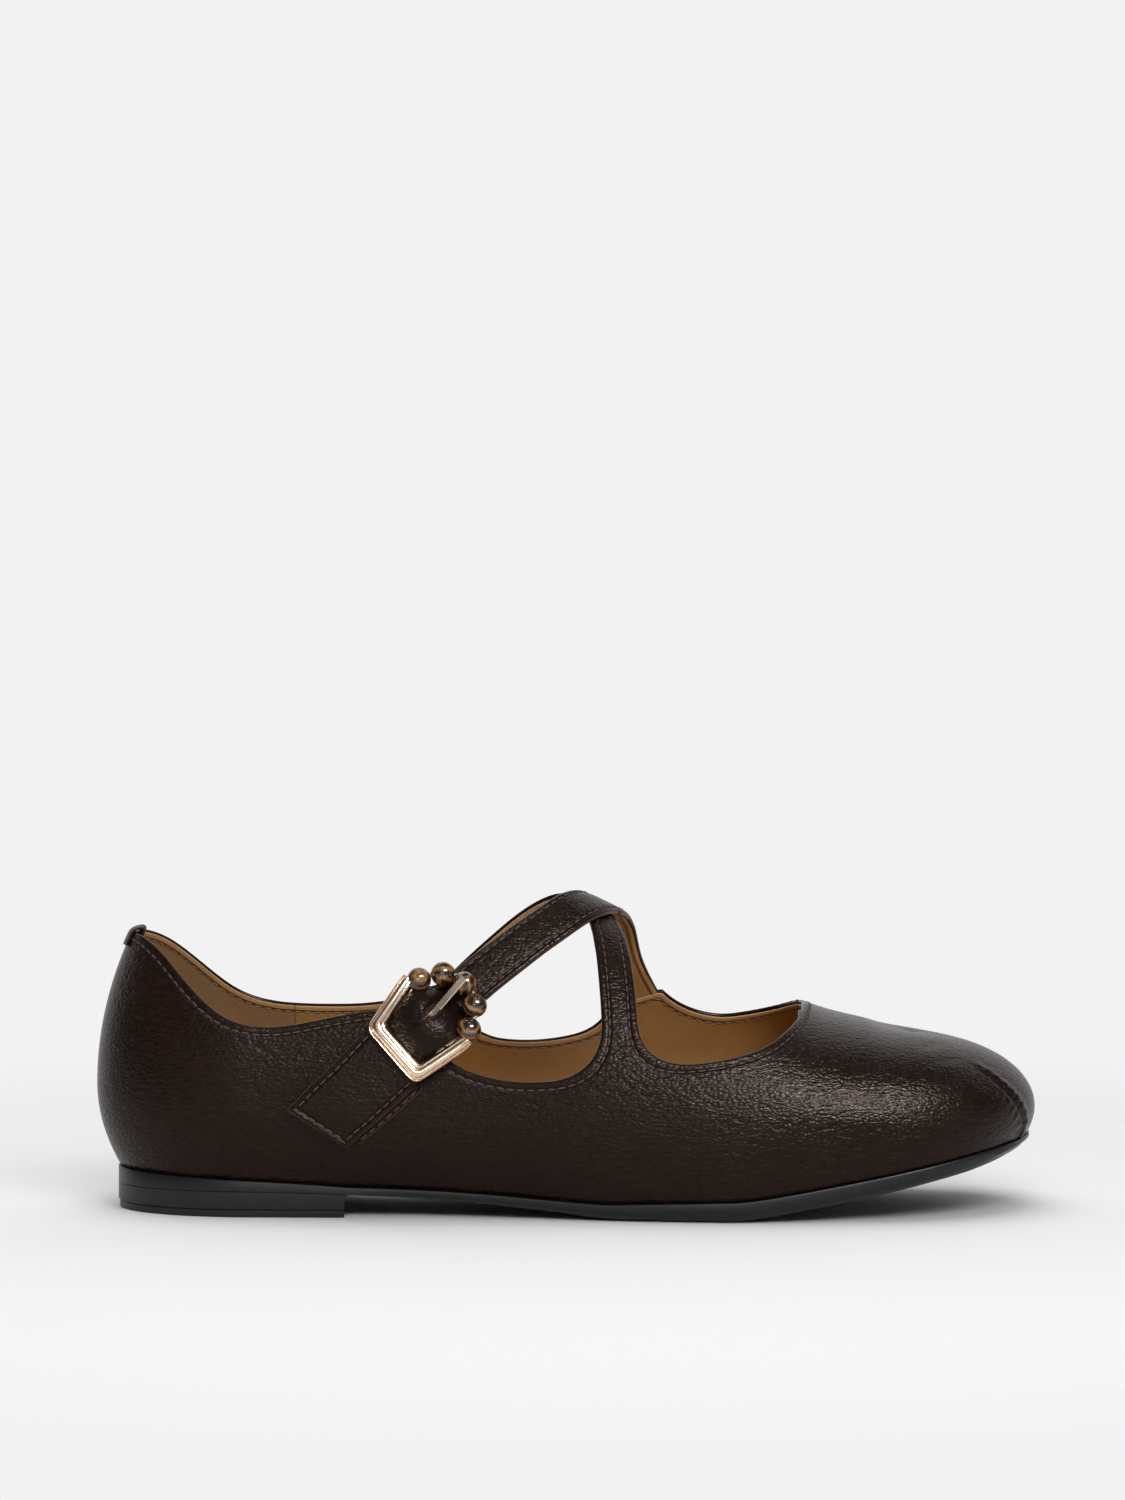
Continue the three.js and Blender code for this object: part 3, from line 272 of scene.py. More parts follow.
def smooth(value, low, high):
    share = np.clip((np.asarray(value, float) - low) / (high - low), 0, 1)
    return share * share * (3 - 2 * share)


def mix(a, b, share):
    return a + (b - a) * share


def sole_bottom(x):
    waist = np.hypot(np.maximum(TREAD_START - x, 0), ARCH_BEND) - ARCH_BEND
    toe = np.hypot(np.maximum(x - TREAD_END, 0), TOE_BEND) - TOE_BEND
    left = np.maximum(1 - waist / ARCH_RUN, 0)
    return ARCH_RISE * (1 - left * left) + TOE_SLOPE * toe


def feather_height(x):
    return sole_bottom(x) + SOLE_THICKNESS * sole_column(1, x / LENGTH)


def station_of(x):
    return 1 + (x - HEEL_TURN) / (TOE_TURN - HEEL_TURN)


def fans_of(station):
    heel_fan = np.maximum(1 - station, 0) * math.pi / 2
    toe_fan = np.maximum(station - 2, 0) * math.pi / 2
    middle = HEEL_TURN + (np.clip(station, 1, 2) - 1) * (TOE_TURN - HEEL_TURN)
    nominal = middle - HEEL_TURN * np.sin(heel_fan) + (LENGTH - TOE_TURN) * np.sin(toe_fan)
    return heel_fan, toe_fan, middle, nominal


def last_point(station, turn):
    """A point on the outside of the last. Stations run from 0 at the heel's back to 3 at
    the tip, turns from -1 at the outer lower edge over 0 on the ridge to 1."""
    station, turn = np.broadcast_arrays(np.asarray(station, float), np.asarray(turn, float))
    level = 1 - np.abs(turn)
    side = np.where(turn < 0, -1.0, 1.0)
    heel_fan, toe_fan, middle, nominal = fans_of(station)
    at = nominal / LENGTH
    ridge_y = last["shift"](at) * HALF_BALL
    reach = np.where(side < 0, last["outer"](at), last["inner"](at)) * HALF_BALL - side * ridge_y
    tuck = last["tuck"](at) * HALF_BALL
    bulge = last["bulge"](at) * INSTEP_HEIGHT
    below = np.maximum(1 - level / BULGE_LEVEL, 0)
    angle = np.maximum(level - BULGE_LEVEL, 0) / (1 - BULGE_LEVEL) * math.pi / 2
    low_z = bulge - (bulge - feather_height(nominal)) * below
    high_z = bulge + (last["ridge"](at) * INSTEP_HEIGHT - bulge) * np.sin(angle)
    z = np.where(below > 0, low_z, high_z)
    narrowing = np.cos(angle) * (1 - last["lean"](at) * np.sin(angle) ** 2)
    half_width = reach * narrowing - tuck * below**2
    lean = BACK_LEAN * (np.maximum(z - bulge, 0) / (BACK_HEIGHT - bulge)) ** 2
    heel_reach = HEEL_TURN - lean - tuck * below**2
    toe_reach = TOE_RIDGE + (LENGTH - TOE_TURN - TOE_RIDGE) * np.cos(angle) - tuck * below**2
    cap = np.cos(heel_fan) * np.sqrt(np.maximum(1 - np.sin(toe_fan) ** TOE_SQUARENESS, 0))
    x = middle - heel_reach * np.sin(heel_fan) + toe_reach * np.sin(toe_fan)
    return np.stack([x, ridge_y + side * half_width * cap, z], axis=-1)


DIFFERENCE = 1e-3


def last_slopes(station, turn):
    s = np.clip(station, DIFFERENCE, 3 - DIFFERENCE)
    t = np.clip(turn, DIFFERENCE - 1, 1 - DIFFERENCE)
    along = (last_point(s + DIFFERENCE, t) - last_point(s - DIFFERENCE, t)) / (2 * DIFFERENCE)
    around = (last_point(s, t + DIFFERENCE) - last_point(s, t - DIFFERENCE)) / (2 * DIFFERENCE)
    return along, around


def last_normal(station, turn):
    normal = unit(np.cross(*last_slopes(station, turn)))
    on_rib = (np.asarray(station) < DIFFERENCE) | (np.asarray(station) > 3 - DIFFERENCE)
    normal[..., 1] = np.where(on_rib, 0, normal[..., 1])
    return unit(normal)


def lifted(station, turn, height):
    return last_point(station, turn) + last_normal(station, turn) * np.asarray(height)[..., None]


# Routes of the straps
ROUTE_SAMPLES = 160


def lay_route(rows):
    """A strap's middle line as stations and turns, points, and distances along it."""
    knots = np.array([(station_of(at * LENGTH), turn) for at, turn in rows])
    knots = np.vstack([2 * knots[0] - knots[1], knots, 2 * knots[-1] - knots[-2]])
    places = []
    for sample in range(ROUTE_SAMPLES + 1):
        position = sample / ROUTE_SAMPLES * (len(rows) - 1)
        i = min(int(position), len(rows) - 2)
        w = position - i
        p0, p1, p2, p3 = knots[i : i + 4]
        d0, d1, d2 = [math.sqrt(np.linalg.norm(b - a)) for a, b in ((p0, p1), (p1, p2), (p2, p3))]
        leave = ((p1 - p0) / d0 - (p2 - p0) / (d0 + d1) + (p2 - p1) / d1) * d1
        reach = ((p2 - p1) / d1 - (p3 - p1) / (d1 + d2) + (p3 - p2) / d2) * d1
        square = -3 * p1 + 3 * p2 - 2 * leave - reach
        cube = 2 * p1 - 2 * p2 + leave + reach
        places.append(p1 + leave * w + square * w * w + cube * w**3)
    places = np.array(places)
    points = last_point(places[:, 0], places[:, 1])
    steps = np.linalg.norm(np.diff(points, axis=0), axis=1)
    return {
        "places": places,
        "points": points,
        "distances": np.concatenate([[0], np.cumsum(steps)]),
    }


under_route = lay_route(UNDER_ROUTE)
buckle_route = lay_route(BUCKLE_ROUTE)
STRAP_LENGTH = buckle_route["distances"][-1]
CROSSING = buckle_route["distances"][np.argmin(np.abs(buckle_route["places"][:, 1]))]
LAP_START = STRAP_LENGTH - HORN_LAP
WALK_STEP = 1.2


def beside_route(route, along, across, height):
    """A place along a route, across it to the heel side, and up from the last, reached in
    short steps over the surface."""
    along, across, height = [
        np.array(a, float) for a in np.broadcast_arrays(along, across, height)
    ]
    distances, points, places = route["distances"], route["points"], route["places"]
    d = np.clip(along, 0, distances[-1])
    i = np.clip(np.searchsorted(distances, d, side="right") - 1, 0, len(distances) - 2)
    share = ((d - distances[i]) / (distances[i + 1] - distances[i]))[..., None]
    place = mix(places[i], places[i + 1], share)
    tangent = unit(points[i + 1] - points[i])
    station, turn = place[..., 0], place[..., 1]
    sideways = unit(np.cross(last_normal(station, turn), tangent))
    wanted = sideways * across[..., None] + tangent * (along - d)[..., None]
    length = np.linalg.norm(wanted, axis=-1, keepdims=True)
    count = max(int(np.ceil(length.max() / WALK_STEP)), 1)
    for _ in range(count):
        normal = last_normal(station, turn)
        flat = wanted - normal * (wanted * normal).sum(-1, keepdims=True)
        flat = unit(flat) * length / count
        a, b = last_slopes(station, turn)
        aa, ab, bb = (a * a).sum(-1), (a * b).sum(-1), (b * b).sum(-1)
        pa, pb = (a * flat).sum(-1), (b * flat).sum(-1)
        scale = 1 / (aa * bb - ab * ab)
        station = station + (pa * bb - pb * ab) * scale
        turn = turn + (pb * aa - pa * ab) * scale
    return lifted(station, turn, height)


def on_strap(along, across, height):
    """A place by its distance from the outside of the buckle's flat bar."""
    return beside_route(buckle_route, TAIL_LENGTH + np.asarray(along, float), across, height)


# The edge of the leather
def distance_to(line, points):
    best = np.full(len(points), np.inf)
    for start, step in zip(line[:-1], np.diff(line, axis=0)):
        share = np.clip((points - start) @ step / (step @ step), 0, 1)
        best = np.minimum(best, ((points - start - share[:, None] * step) ** 2).sum(1))
    return np.sqrt(best)


HALVINGS = 24


def above_topline(station, turn):
    point = last_point(station, turn)
    at = point[..., 0] / LENGTH
    on_rib = (np.asarray(station) < DIFFERENCE) | (np.asarray(station) > 3 - DIFFERENCE)
    outer = (np.asarray(turn) < 0) | on_rib
    share = np.where(outer, outer_topline(at), inner_topline(at))
    return point[..., 2] - share * INSTEP_HEIGHT


def topline_turn(station, side):
    low = np.zeros_like(station)
    high = np.full_like(station, 1 - BULGE_LEVEL)
    for _ in range(HALVINGS):
        middle = (low + high) / 2
        above = above_topline(station, side * middle) > 0
        low = np.where(above, middle, low)
        high = np.where(above, high, middle)
    return side * low


def topline_on(side):
    stations = np.linspace(0, station_of(THROAT_TIP), ROUTE_SAMPLES, endpoint=False)
    return last_point(stations, topline_turn(stations, side))


tip_point = last_point(station_of(THROAT_TIP), 0)[None]
topline = np.vstack([topline_on(-1), tip_point, topline_on(1)[::-1]])
horn_line = buckle_route["points"][buckle_route["distances"] > LAP_START]


def smooth_max(a, b, width):
    near = np.maximum(width - np.abs(a - b), 0)
    return np.maximum(a, b) + near * near / (4 * width)


def leather_depth(station, turn):
    """How far places on the last lie inside the leather, below nothing in the openings."""
    point = last_point(station, turn)
    opened = (point[:, 0] < THROAT_TIP) & (above_topline(station, turn) > 0)
    body = distance_to(topline, point) * np.where(opened, -1, 1)
    strap = UNDER_STRAP_WIDTH / 2 - distance_to(under_route["points"], point)
    depth = smooth_max(body, strap, FILLET)
    distances, points = buckle_route["distances"], buckle_route["points"]
    i = np.searchsorted(distances, LAP_START) - 1
    tangent = unit(points[i + 1] - points[i])
    edge = points[i] + tangent * (LAP_START - distances[i])
    beyond = (point - edge) @ tangent
    horn = np.minimum(HORN_WIDTH / 2 - distance_to(horn_line, point), beyond)
    return np.where(turn < 0, depth, np.maximum(depth, smooth_max(body, horn, FILLET)))


# The grid over the last, cut to the leather
HEEL_STEPS, MIDDLE_STEPS, TOE_STEPS = 60, 138, 84
LOWER_STEPS, UPPER_STEPS = 16, 56


def fine_stations(end=3.0):
    stations = np.concatenate(
        [
            np.linspace(0, 1, HEEL_STEPS, endpoint=False),
            np.linspace(1, 2, MIDDLE_STEPS, endpoint=False),
            np.linspace(2, 3, TOE_STEPS + 1),
        ]
    )
    return np.append(stations[stations < end - 0.002], end)


def fine_turns():
    lower = np.linspace(-1, BULGE_LEVEL - 1, LOWER_STEPS, endpoint=False)
    upper = np.linspace(BULGE_LEVEL - 1, 0, UPPER_STEPS, endpoint=False)
    half = np.concatenate([lower, upper])
    return np.concatenate([half, [0], -half[::-1]])


grid_stations, grid_turns = [
    g.ravel() for g in np.meshgrid(fine_stations(), fine_turns(), indexing="ij")
]
grid_depth = leather_depth(grid_stations, grid_turns)
rows, columns = len(fine_stations()), len(fine_turns())
corner = (np.arange(rows - 1)[:, None] * columns + np.arange(columns - 1)).ravel()
grid_faces = np.vstack(
    [
        np.stack([corner, corner + columns, corner + columns + 1], axis=1),
        np.stack([corner, corner + columns + 1, corner + 1], axis=1),
    ]
)
SNAP = 0.3


def cut_sheet(level):
    """The part of the grid that lies deeper in the leather than a level: its stations,
    turns, faces, and the loops of its edge with the leather on their left."""
    stations, turns, depth = grid_stations.copy(), grid_turns.copy(), grid_depth - level
    near = np.flatnonzero(np.abs(depth) < SNAP)
    s, t = stations[near], turns[near]
    along, around = last_slopes(s, t)
    aa, bb = (along**2).sum(-1), (around**2).sum(-1)
    step_s = (leather_depth(s + DIFFERENCE, t) - leather_depth(s, t)) / DIFFERENCE
    step_t = (leather_depth(s, t + DIFFERENCE) - leather_depth(s, t)) / DIFFERENCE
    scale = depth[near] / np.maximum(step_s**2 / aa + step_t**2 / bb, 0.2)
    on_rib = (s < DIFFERENCE) | (s > 3 - DIFFERENCE)
    stations[near] = np.where(on_rib, s, np.clip(s - scale * step_s / aa, 0, 3))
    turns[near] = t - scale * step_t / bb
    depth[near] = 0

    stations, turns = list(stations), list(turns)
    inside = depth[grid_faces] >= 0
    whole = inside.all(axis=1) & (depth[grid_faces] > 0).any(axis=1)
    faces = [tuple(f) for f in grid_faces[whole]]
    known = {}

    def edge_place(a, b):
        key = (min(a, b), max(a, b))
        if key not in known:
            share = depth[a] / (depth[a] - depth[b])
            known[key] = len(stations)
            stations.append(mix(stations[a], stations[b], share))
            turns.append(mix(turns[a], turns[b], share))
        return known[key]

    for face in grid_faces[inside.any(axis=1) & ~inside.all(axis=1)]:
        kept = []
        for k in range(3):
            a, b = face[k], face[(k + 1) % 3]
            if depth[a] >= 0:
                kept.append(a)
            if (depth[a] > 0 > depth[b]) or (depth[a] < 0 < depth[b]):
                kept.append(edge_place(a, b))
        faces += [(kept[0], kept[k], kept[k + 1]) for k in range(1, len(kept) - 1)]

    stations, turns = np.array(stations), np.array(turns)
    used = np.unique(np.array(faces))
    keys = np.round(last_point(stations[used], turns[used]), 3)
    _, first, inverse = np.unique(keys, axis=0, return_index=True, return_inverse=True)
    renumber = np.zeros(len(stations), int)
    renumber[used] = inverse.ravel()
    stations, turns = stations[used[first]], turns[used[first]]
    faces = renumber[np.array(faces)]
    a, b, c = faces.T
    faces = faces[(a != b) & (b != c) & (c != a)]
    return stations, turns, faces, edge_loops(faces)


SHORT_LOOP = 20


def edge_loops(faces):
    """The loops of edges that one face alone has. Slivers are left out."""
    directed = {(f[k], f[(k + 1) % 3]) for f in faces.tolist() for k in range(3)}
    following = {a: b for a, b in directed if (b, a) not in directed}
    loops = []
    while following:
        start, here = following.popitem()
        loop = [start]
        while here != start and here in following:
            loop.append(here)
            here = following.pop(here)
        loops.append(np.array(loop))
    return [loop for loop in loops if len(loop) > SHORT_LOOP]


# Relief of the leather
SEAM_LINE = [
    (2.5, -0.44), (2.55, -0.533), (2.615, -0.657), (2.659, -0.741), (2.698, -0.832),
    (2.731, -0.901), (2.737, -0.953), (2.73, -1),
]
SEAM_REACH = 215


def toe_seam():
    places = np.array(SEAM_LINE)
    shares = np.linspace(0, len(places) - 1, 80)
    stations = np.interp(shares, range(len(places)), places[:, 0])
    turns = np.interp(shares, range(len(places)), places[:, 1])
    return last_point(stations, turns)


seam_points = toe_seam()


def bell(distance, centre, width):
    """One at the centre, falling smoothly to nothing within a few widths."""
    return np.exp(-(((distance - centre) / width) ** 2))


def crease_relief(point, normal):
    """The soft creases, each on its own side of the shoe alone."""
    height = np.zeros(len(point))
    for x, turn, angle, half_length, half_width, rise in CREASES:
        station = station_of(x)
        if x > TOE_TURN:
            station = 2 + math.asin((x - TOE_TURN) / (LENGTH - TOE_TURN)) / (math.pi / 2)
        centre = last_point(station, turn)
        along, around = [unit(v) for v in last_slopes(station, turn)]
        cos, sin = math.cos(math.radians(angle)), math.sin(math.radians(angle))
        run, side = along * cos + around * sin, around * cos - along * sin
        u, v = (point - centre) @ run / half_length, (point - centre) @ side
        fade = np.maximum(1 - u * u, 0) ** 2
        same_side = normal @ last_normal(station, turn) > 0.2
        height += rise * fade * bell(v, 0, half_width) * same_side
    return height


HIGH_LIP = 0.5
LOW_LIP = 0.12
PUCKER = 0.1
SEAM_GROOVE = 0.42


def seam_relief(point):
    """The toe seam: a groove with a high lip before it, a low one behind it, and puckers."""
    away = distance_to(seam_points, point)
    run = unit(seam_points[-1] - seam_points[0])
    along = (point - seam_points[0]) @ run
    across = unit(np.cross(run, last_normal(*SEAM_LINE[3])))
    beyond = (point - seam_points[len(seam_points) // 2]) @ across * np.sign(across[0])
    lip = np.where(beyond > 0, HIGH_LIP * bell(away, 1.9, 1.5), LOW_LIP * bell(away, 1.2, 0.9))
    pucker = PUCKER * np.sin(along * 2.4 + np.sign(beyond) * 0.8) * bell(away, 2.2, 1.8)
    height = lip + pucker - SEAM_GROOVE * bell(away, 0, 0.5)
    return height * smooth(along, -1, 6) * (point[:, 0] > SEAM_REACH)


def relief(point, normal):
    """How far the leather stands off the last at each point."""
    return crease_relief(point, normal) + seam_relief(point)


def skin_point(station, turn, height):
    point, normal = last_point(station, turn), last_normal(station, turn)
    return point + normal * (height + relief(point, normal))[:, None]


# Meshes
def add_object(name, mesh):
    obj = bpy.data.objects.new(name, mesh)
    bpy.context.scene.collection.objects.link(obj)
    return obj


def mesh_object(name, points, faces, materials, attributes=None, indices=None):
    """An object from points in millimetres in the last's frame."""
    mesh = bpy.data.meshes.new(name)
    metres = (np.asarray(points) + FRAME_SHIFT) / 1000
    mesh.from_pydata(metres.tolist(), [], [list(map(int, f)) for f in faces])
    for label, values in (attributes or {}).items():
        attribute = mesh.attributes.new(label, "FLOAT", "POINT")
        attribute.data.foreach_set("value", np.asarray(values, np.float32))
    for material in materials:
        mesh.materials.append(material)
    if indices is not None:
        mesh.polygons.foreach_set("material_index", np.asarray(indices, np.int32))
    mesh.polygons.foreach_set("use_smooth", np.ones(len(mesh.polygons), bool))
    mesh.update()
    return add_object(name, mesh)


SAME_PLACE = 1e-6


def merge_and_orient(obj):
    """Merges doubles and turns the faces of a closed piece outwards."""
    work = bmesh.new()
    work.from_mesh(obj.data)
    bmesh.ops.remove_doubles(work, verts=work.verts, dist=SAME_PLACE)
    bmesh.ops.dissolve_degenerate(work, dist=SAME_PLACE, edges=work.edges)
    bmesh.ops.recalc_face_normals(work, faces=work.faces)
    if work.calc_volume(signed=True) < 0:
        bmesh.ops.reverse_faces(work, faces=work.faces)
    work.to_mesh(obj.data)
    work.free()


def finished(obj):
    """Applies an object's modifiers to its mesh."""
    depsgraph = bpy.context.evaluated_depsgraph_get()
    mesh = bpy.data.meshes.new_from_object(obj.evaluated_get(depsgraph))
    obj.modifiers.clear()
    obj.data = mesh
    return obj


def combined(obj, others, operation):
    """A piece with others joined to it or cut away from it, which are then removed."""
    for other in others:
        modifier = obj.modifiers.new("combine", "BOOLEAN")
        modifier.operation = operation
        modifier.solver = "EXACT"
        modifier.object = other
    finished(obj)
    for other in others:
        bpy.data.objects.remove(other)
    return obj


def lofted(name, rings, materials, indices=None, sharp=40, closed=False, attributes=None):
    """A closed solid through rings of as many points each, with a fan over both ends.
    indices gives the material of each strip of the ring, and then of the ends."""
    rings = np.asarray(rings, float)
    count, size = rings.shape[:2]
    points = rings.reshape(-1, 3)
    faces, kinds = [], []
    for r in range(count if closed else count - 1):
        for i in range(size):
            a, b = r * size + i, r * size + (i + 1) % size
            c, d = (b + size) % len(points), (a + size) % len(points)
            faces.append((a, b, c, d))
            kinds.append(indices[i] if indices else 0)
    if not closed:
        for ring, order in ((0, -1), (count - 1, 1)):
            faces.append(list(range(ring * size, (ring + 1) * size))[::order])
            kinds.append(indices[size + (ring > 0)] if indices else 0)
    values = {k: np.asarray(v).ravel() for k, v in (attributes or {}).items()}
    obj = mesh_object(name, points, faces, materials, values, kinds)
    merge_and_orient(obj)
    if sharp is not None:
        obj.data.set_sharp_from_angle(angle=math.radians(sharp))
    return obj


def along_sole(turns):
    """Whether a loop of the leather's edge runs round the sole."""
    return np.abs(turns).mean() > 0.95


RIM_STEPS = 6


def rounded_shell(name, level, high, low, material):
    """A closed shell over the leather between two heights, with a half round edge."""
    radius = (high - low) / 2
    stations, turns, faces, loops = cut_sheet(level + radius)
    count = len(stations)
    depth = leather_depth(stations, turns)
    normal = last_normal(stations, turns)
    points = [skin_point(stations, turns, np.full(count, h)) for h in (high, low)]
    all_points = [points[0], points[1]]
    all_depth = [depth, depth]
    all_faces = [faces, faces[:, ::-1] + count]
    total = 2 * count
    for loop in loops:
        following = np.roll(loop, -1)
        if along_sole(turns[loop]):
            strip = np.stack([following, loop, loop + count, following + count], axis=1)
            all_faces.append(strip)
            continue
        middle = (points[0][loop] + points[1][loop]) / 2
        run = unit(np.roll(middle, -2, axis=0) - np.roll(middle, 2, axis=0))
        outward = unit(np.cross(run, normal[loop]))
        outward = unit(sum(np.roll(outward, k, axis=0) for k in range(-3, 4)))
        previous = loop
        for step in range(1, RIM_STEPS + 1):
            if step == RIM_STEPS:
                ring = loop + count
            else:
                angle = math.pi * step / RIM_STEPS
                ring = total + np.arange(len(loop))
                total += len(loop)
                off = outward * radius * math.sin(angle)
                all_points.append(middle + off + normal[loop] * radius * math.cos(angle))
                all_depth.append(np.full(len(loop), level + radius * (1 - math.sin(angle))))
            strip = [np.roll(previous, -1), previous, ring, np.roll(ring, -1)]
            all_faces.append(np.stack(strip, axis=1))
            previous = ring
    mesh_faces = [f for group in all_faces for f in group.tolist()]
    attributes = {"edge_distance": np.concatenate(all_depth)}
    return mesh_object(name, np.vstack(all_points), mesh_faces, [material], attributes)


# Shader nodes
def socket_at(sockets, key):
    """A socket by its number, or by its name among those in use."""
    if isinstance(key, int):
        return sockets[key]
    return next(s for s in sockets if s.name == key and s.enabled)


class Value:
    """A socket of a shader tree. Arithmetic on it adds Math nodes."""

    def __init__(self, shader, socket):
        self.shader = shader
        self.socket = socket

    def _math(self, operation, *others):
        inputs = dict(enumerate([self, *others]))
        return self.shader.node("ShaderNodeMath", {"operation": operation}, inputs)

    def __add__(self, other):
        return self._math("ADD", other)

    def __sub__(self, other):
        return self._math("SUBTRACT", other)

    def __mul__(self, other):
        return self._math("MULTIPLY", other)

    def __truediv__(self, other):
        return self._math("DIVIDE", other)

    def __rsub__(self, other):
        return self.shader.node("ShaderNodeMath", {"operation": "SUBTRACT"}, {0: other, 1: self})

    __radd__ = __add__
    __rmul__ = __mul__

    def bell(self, centre, width):
        """One at the centre, falling smoothly to nothing within a few widths."""
        away = (self - centre) / width
        return self.shader.node("ShaderNodeMath", {"operation": "EXPONENT"}, {0: away * away * -1})

    def between(self, low, high):
        """Rises smoothly from nothing at low to one at high."""
        inputs = {"Value": self, "From Min": low, "From Max": high}
        return self.shader.node("ShaderNodeMapRange", {"interpolation_type": "SMOOTHSTEP"}, inputs)


class Shader:
    """A material under construction."""

    def __init__(self, name, **constants):
        self.material = bpy.data.materials.new(name)
        self.material.use_nodes = True
        self.nodes = self.material.node_tree.nodes
        self.surface = self.nodes["Principled BSDF"]
        for socket, value in constants.items():
            self.surface.inputs[socket.replace("_", " ")].default_value = value

    def node(self, kind, settings=None, inputs=None, output=0):
        """Adds a node of a kind, makes its settings, and then sets or links its inputs."""
        node = self.nodes.new(kind)
        for name, value in (settings or {}).items():
            if name == "stops":
                ramp = node.color_ramp.elements
                while len(ramp) < len(value):
                    ramp.new(0.5)
                for element, (position, colour) in zip(ramp, value):
                    element.position = position
                    element.color = (*colour, 1)
            else:
                setattr(node, name, value)
        for name, value in (inputs or {}).items():
            socket = socket_at(node.inputs, name)
            if isinstance(value, Value):
                self.material.node_tree.links.new(value.socket, socket)
            else:
                socket.default_value = value
        return Value(self, socket_at(node.outputs, output))

    def place(self, scale=(1, 1, 1), turn=(0, 0, 0)):
        coordinates = self.node("ShaderNodeTexCoord", output="Object")
        inputs = {"Vector": coordinates, "Scale": scale, "Rotation": turn}
        return self.node("ShaderNodeMapping", {}, inputs)

    def noise(self, scale, detail=3, roughness=0.5, place=None, distortion=0):
        inputs = {
            "Vector": place or self.place(),
            "Scale": scale,
            "Detail": detail,
            "Roughness": roughness,
            "Distortion": distortion,
        }
        return self.node("ShaderNodeTexNoise", {}, inputs)

    def cells(self, scale, place=None):
        inputs = {"Vector": place or self.place(), "Scale": scale}
        return self.node("ShaderNodeTexVoronoi", {"feature": "F1"}, inputs, "Distance")

    def attribute(self, name):
        return self.node("ShaderNodeAttribute", {"attribute_name": name}, output="Fac")

    def colours(self, a, b, share):
        """A mix of two colours, each a value or red, green and blue."""
        a, b = [c if isinstance(c, Value) else (*c, 1) for c in (a, b)]
        inputs = {"Factor": share, "A": a, "B": b}
        return self.node("ShaderNodeMix", {"data_type": "RGBA"}, inputs, "Result")

    def ramp(self, value, stops):
        return self.node("ShaderNodeValToRGB", {"stops": stops}, {"Fac": value})

    def bump(self, height, distance):
        inputs = {"Height": height, "Distance": distance, "Strength": 1.0}
        return self.node("ShaderNodeBump", {}, inputs)

    def finish(self, **links):
        for socket, value in links.items():
            target = self.surface.inputs[socket.replace("_", " ")]
            self.material.node_tree.links.new(value.socket, target)
        return self.material


GLEAM = {"Specular_IOR_Level": 0.15, "IOR": 1.5, "Specular_Tint": (1.0, 0.84, 0.76, 1)}


def leather_finish(name, seam_inside, dark, light, edge_highlight=None):
    """Grained leather: glossy at its cut edge, with a groove at its stitching, and with painted
    shade in the grain's hollows and in the groove. The last argument is the colour of a
    painted highlight along the cut edge."""
    shader = Shader(name, **GLEAM)
    pebbles = shader.cells(1500, shader.place(scale=(0.62, 0.85, 1.15)))
    deep_pebbles = shader.cells(760, shader.place(scale=(0.5, 0.85, 1.3)))
    wrinkles = shader.noise(520, 4, 0.62, shader.place(scale=(0.4, 0.85, 1.7)), 0.9)
    patches = shader.noise(30, 3)
    edge = shader.attribute("edge_distance")
    groove = edge.bell(seam_inside, 0.42)
    inside = edge.between(0.3, 1.0)
    grain = pebbles * -1.0 + deep_pebbles * -0.7 + wrinkles * 1.3
    depth = (patches * 1.2 + 0.4) * inside
    relief_height = grain * depth - groove * 2.0 + edge.bell(1.0, 0.6) * 0.5
    # Colour: random patches of tone, and painted shade that darkens the grain's hollows and
    # lightens its ridges.
    tone_and_painted_shade = (wrinkles * 0.7 + patches * 0.4 - pebbles * 0.5 + 0.1).between(0.15, 0.85)
    colour = shader.colours(dark, light, tone_and_painted_shade)
    # Painted shade: darker in the stitching groove.
    colour = shader.colours(colour, tuple(c * 0.3 for c in dark), groove * 0.75)
    # Painted highlight: a lighter line along the outermost cut edge.
    if edge_highlight:
        colour = shader.colours(colour, edge_highlight, edge.bell(0, 0.3) * 0.8)
    roughness = 0.16 + inside * 0.05 + pebbles * 0.1 + patches * 0.06 + groove * 0.25
    return shader.finish(
        Base_Color=colour, Roughness=roughness, Normal=shader.bump(relief_height, 0.00014)
    )


def plain_leather(name, dark, light, depth=0.0001):
    """Grained leather without an edge of its own."""
    shader = Shader(name, **GLEAM)
    pebbles = shader.cells(1500)
    wrinkles = shader.noise(520, 4, 0.62, distortion=0.8)
    # Painted shade: the colour is darker in the wrinkles' hollows and lighter on their ridges.
    colour = shader.colours(dark, light, wrinkles.between(0.25, 0.8))
    height = pebbles * -0.8 + wrinkles * 1.3
    return shader.finish(
        Base_Color=colour, Roughness=0.32 + pebbles * 0.12, Normal=shader.bump(height, depth)
    )


# Where the brushed lining of the heel meets the smooth lining, in metres from the middle
NAP_END = -0.0735


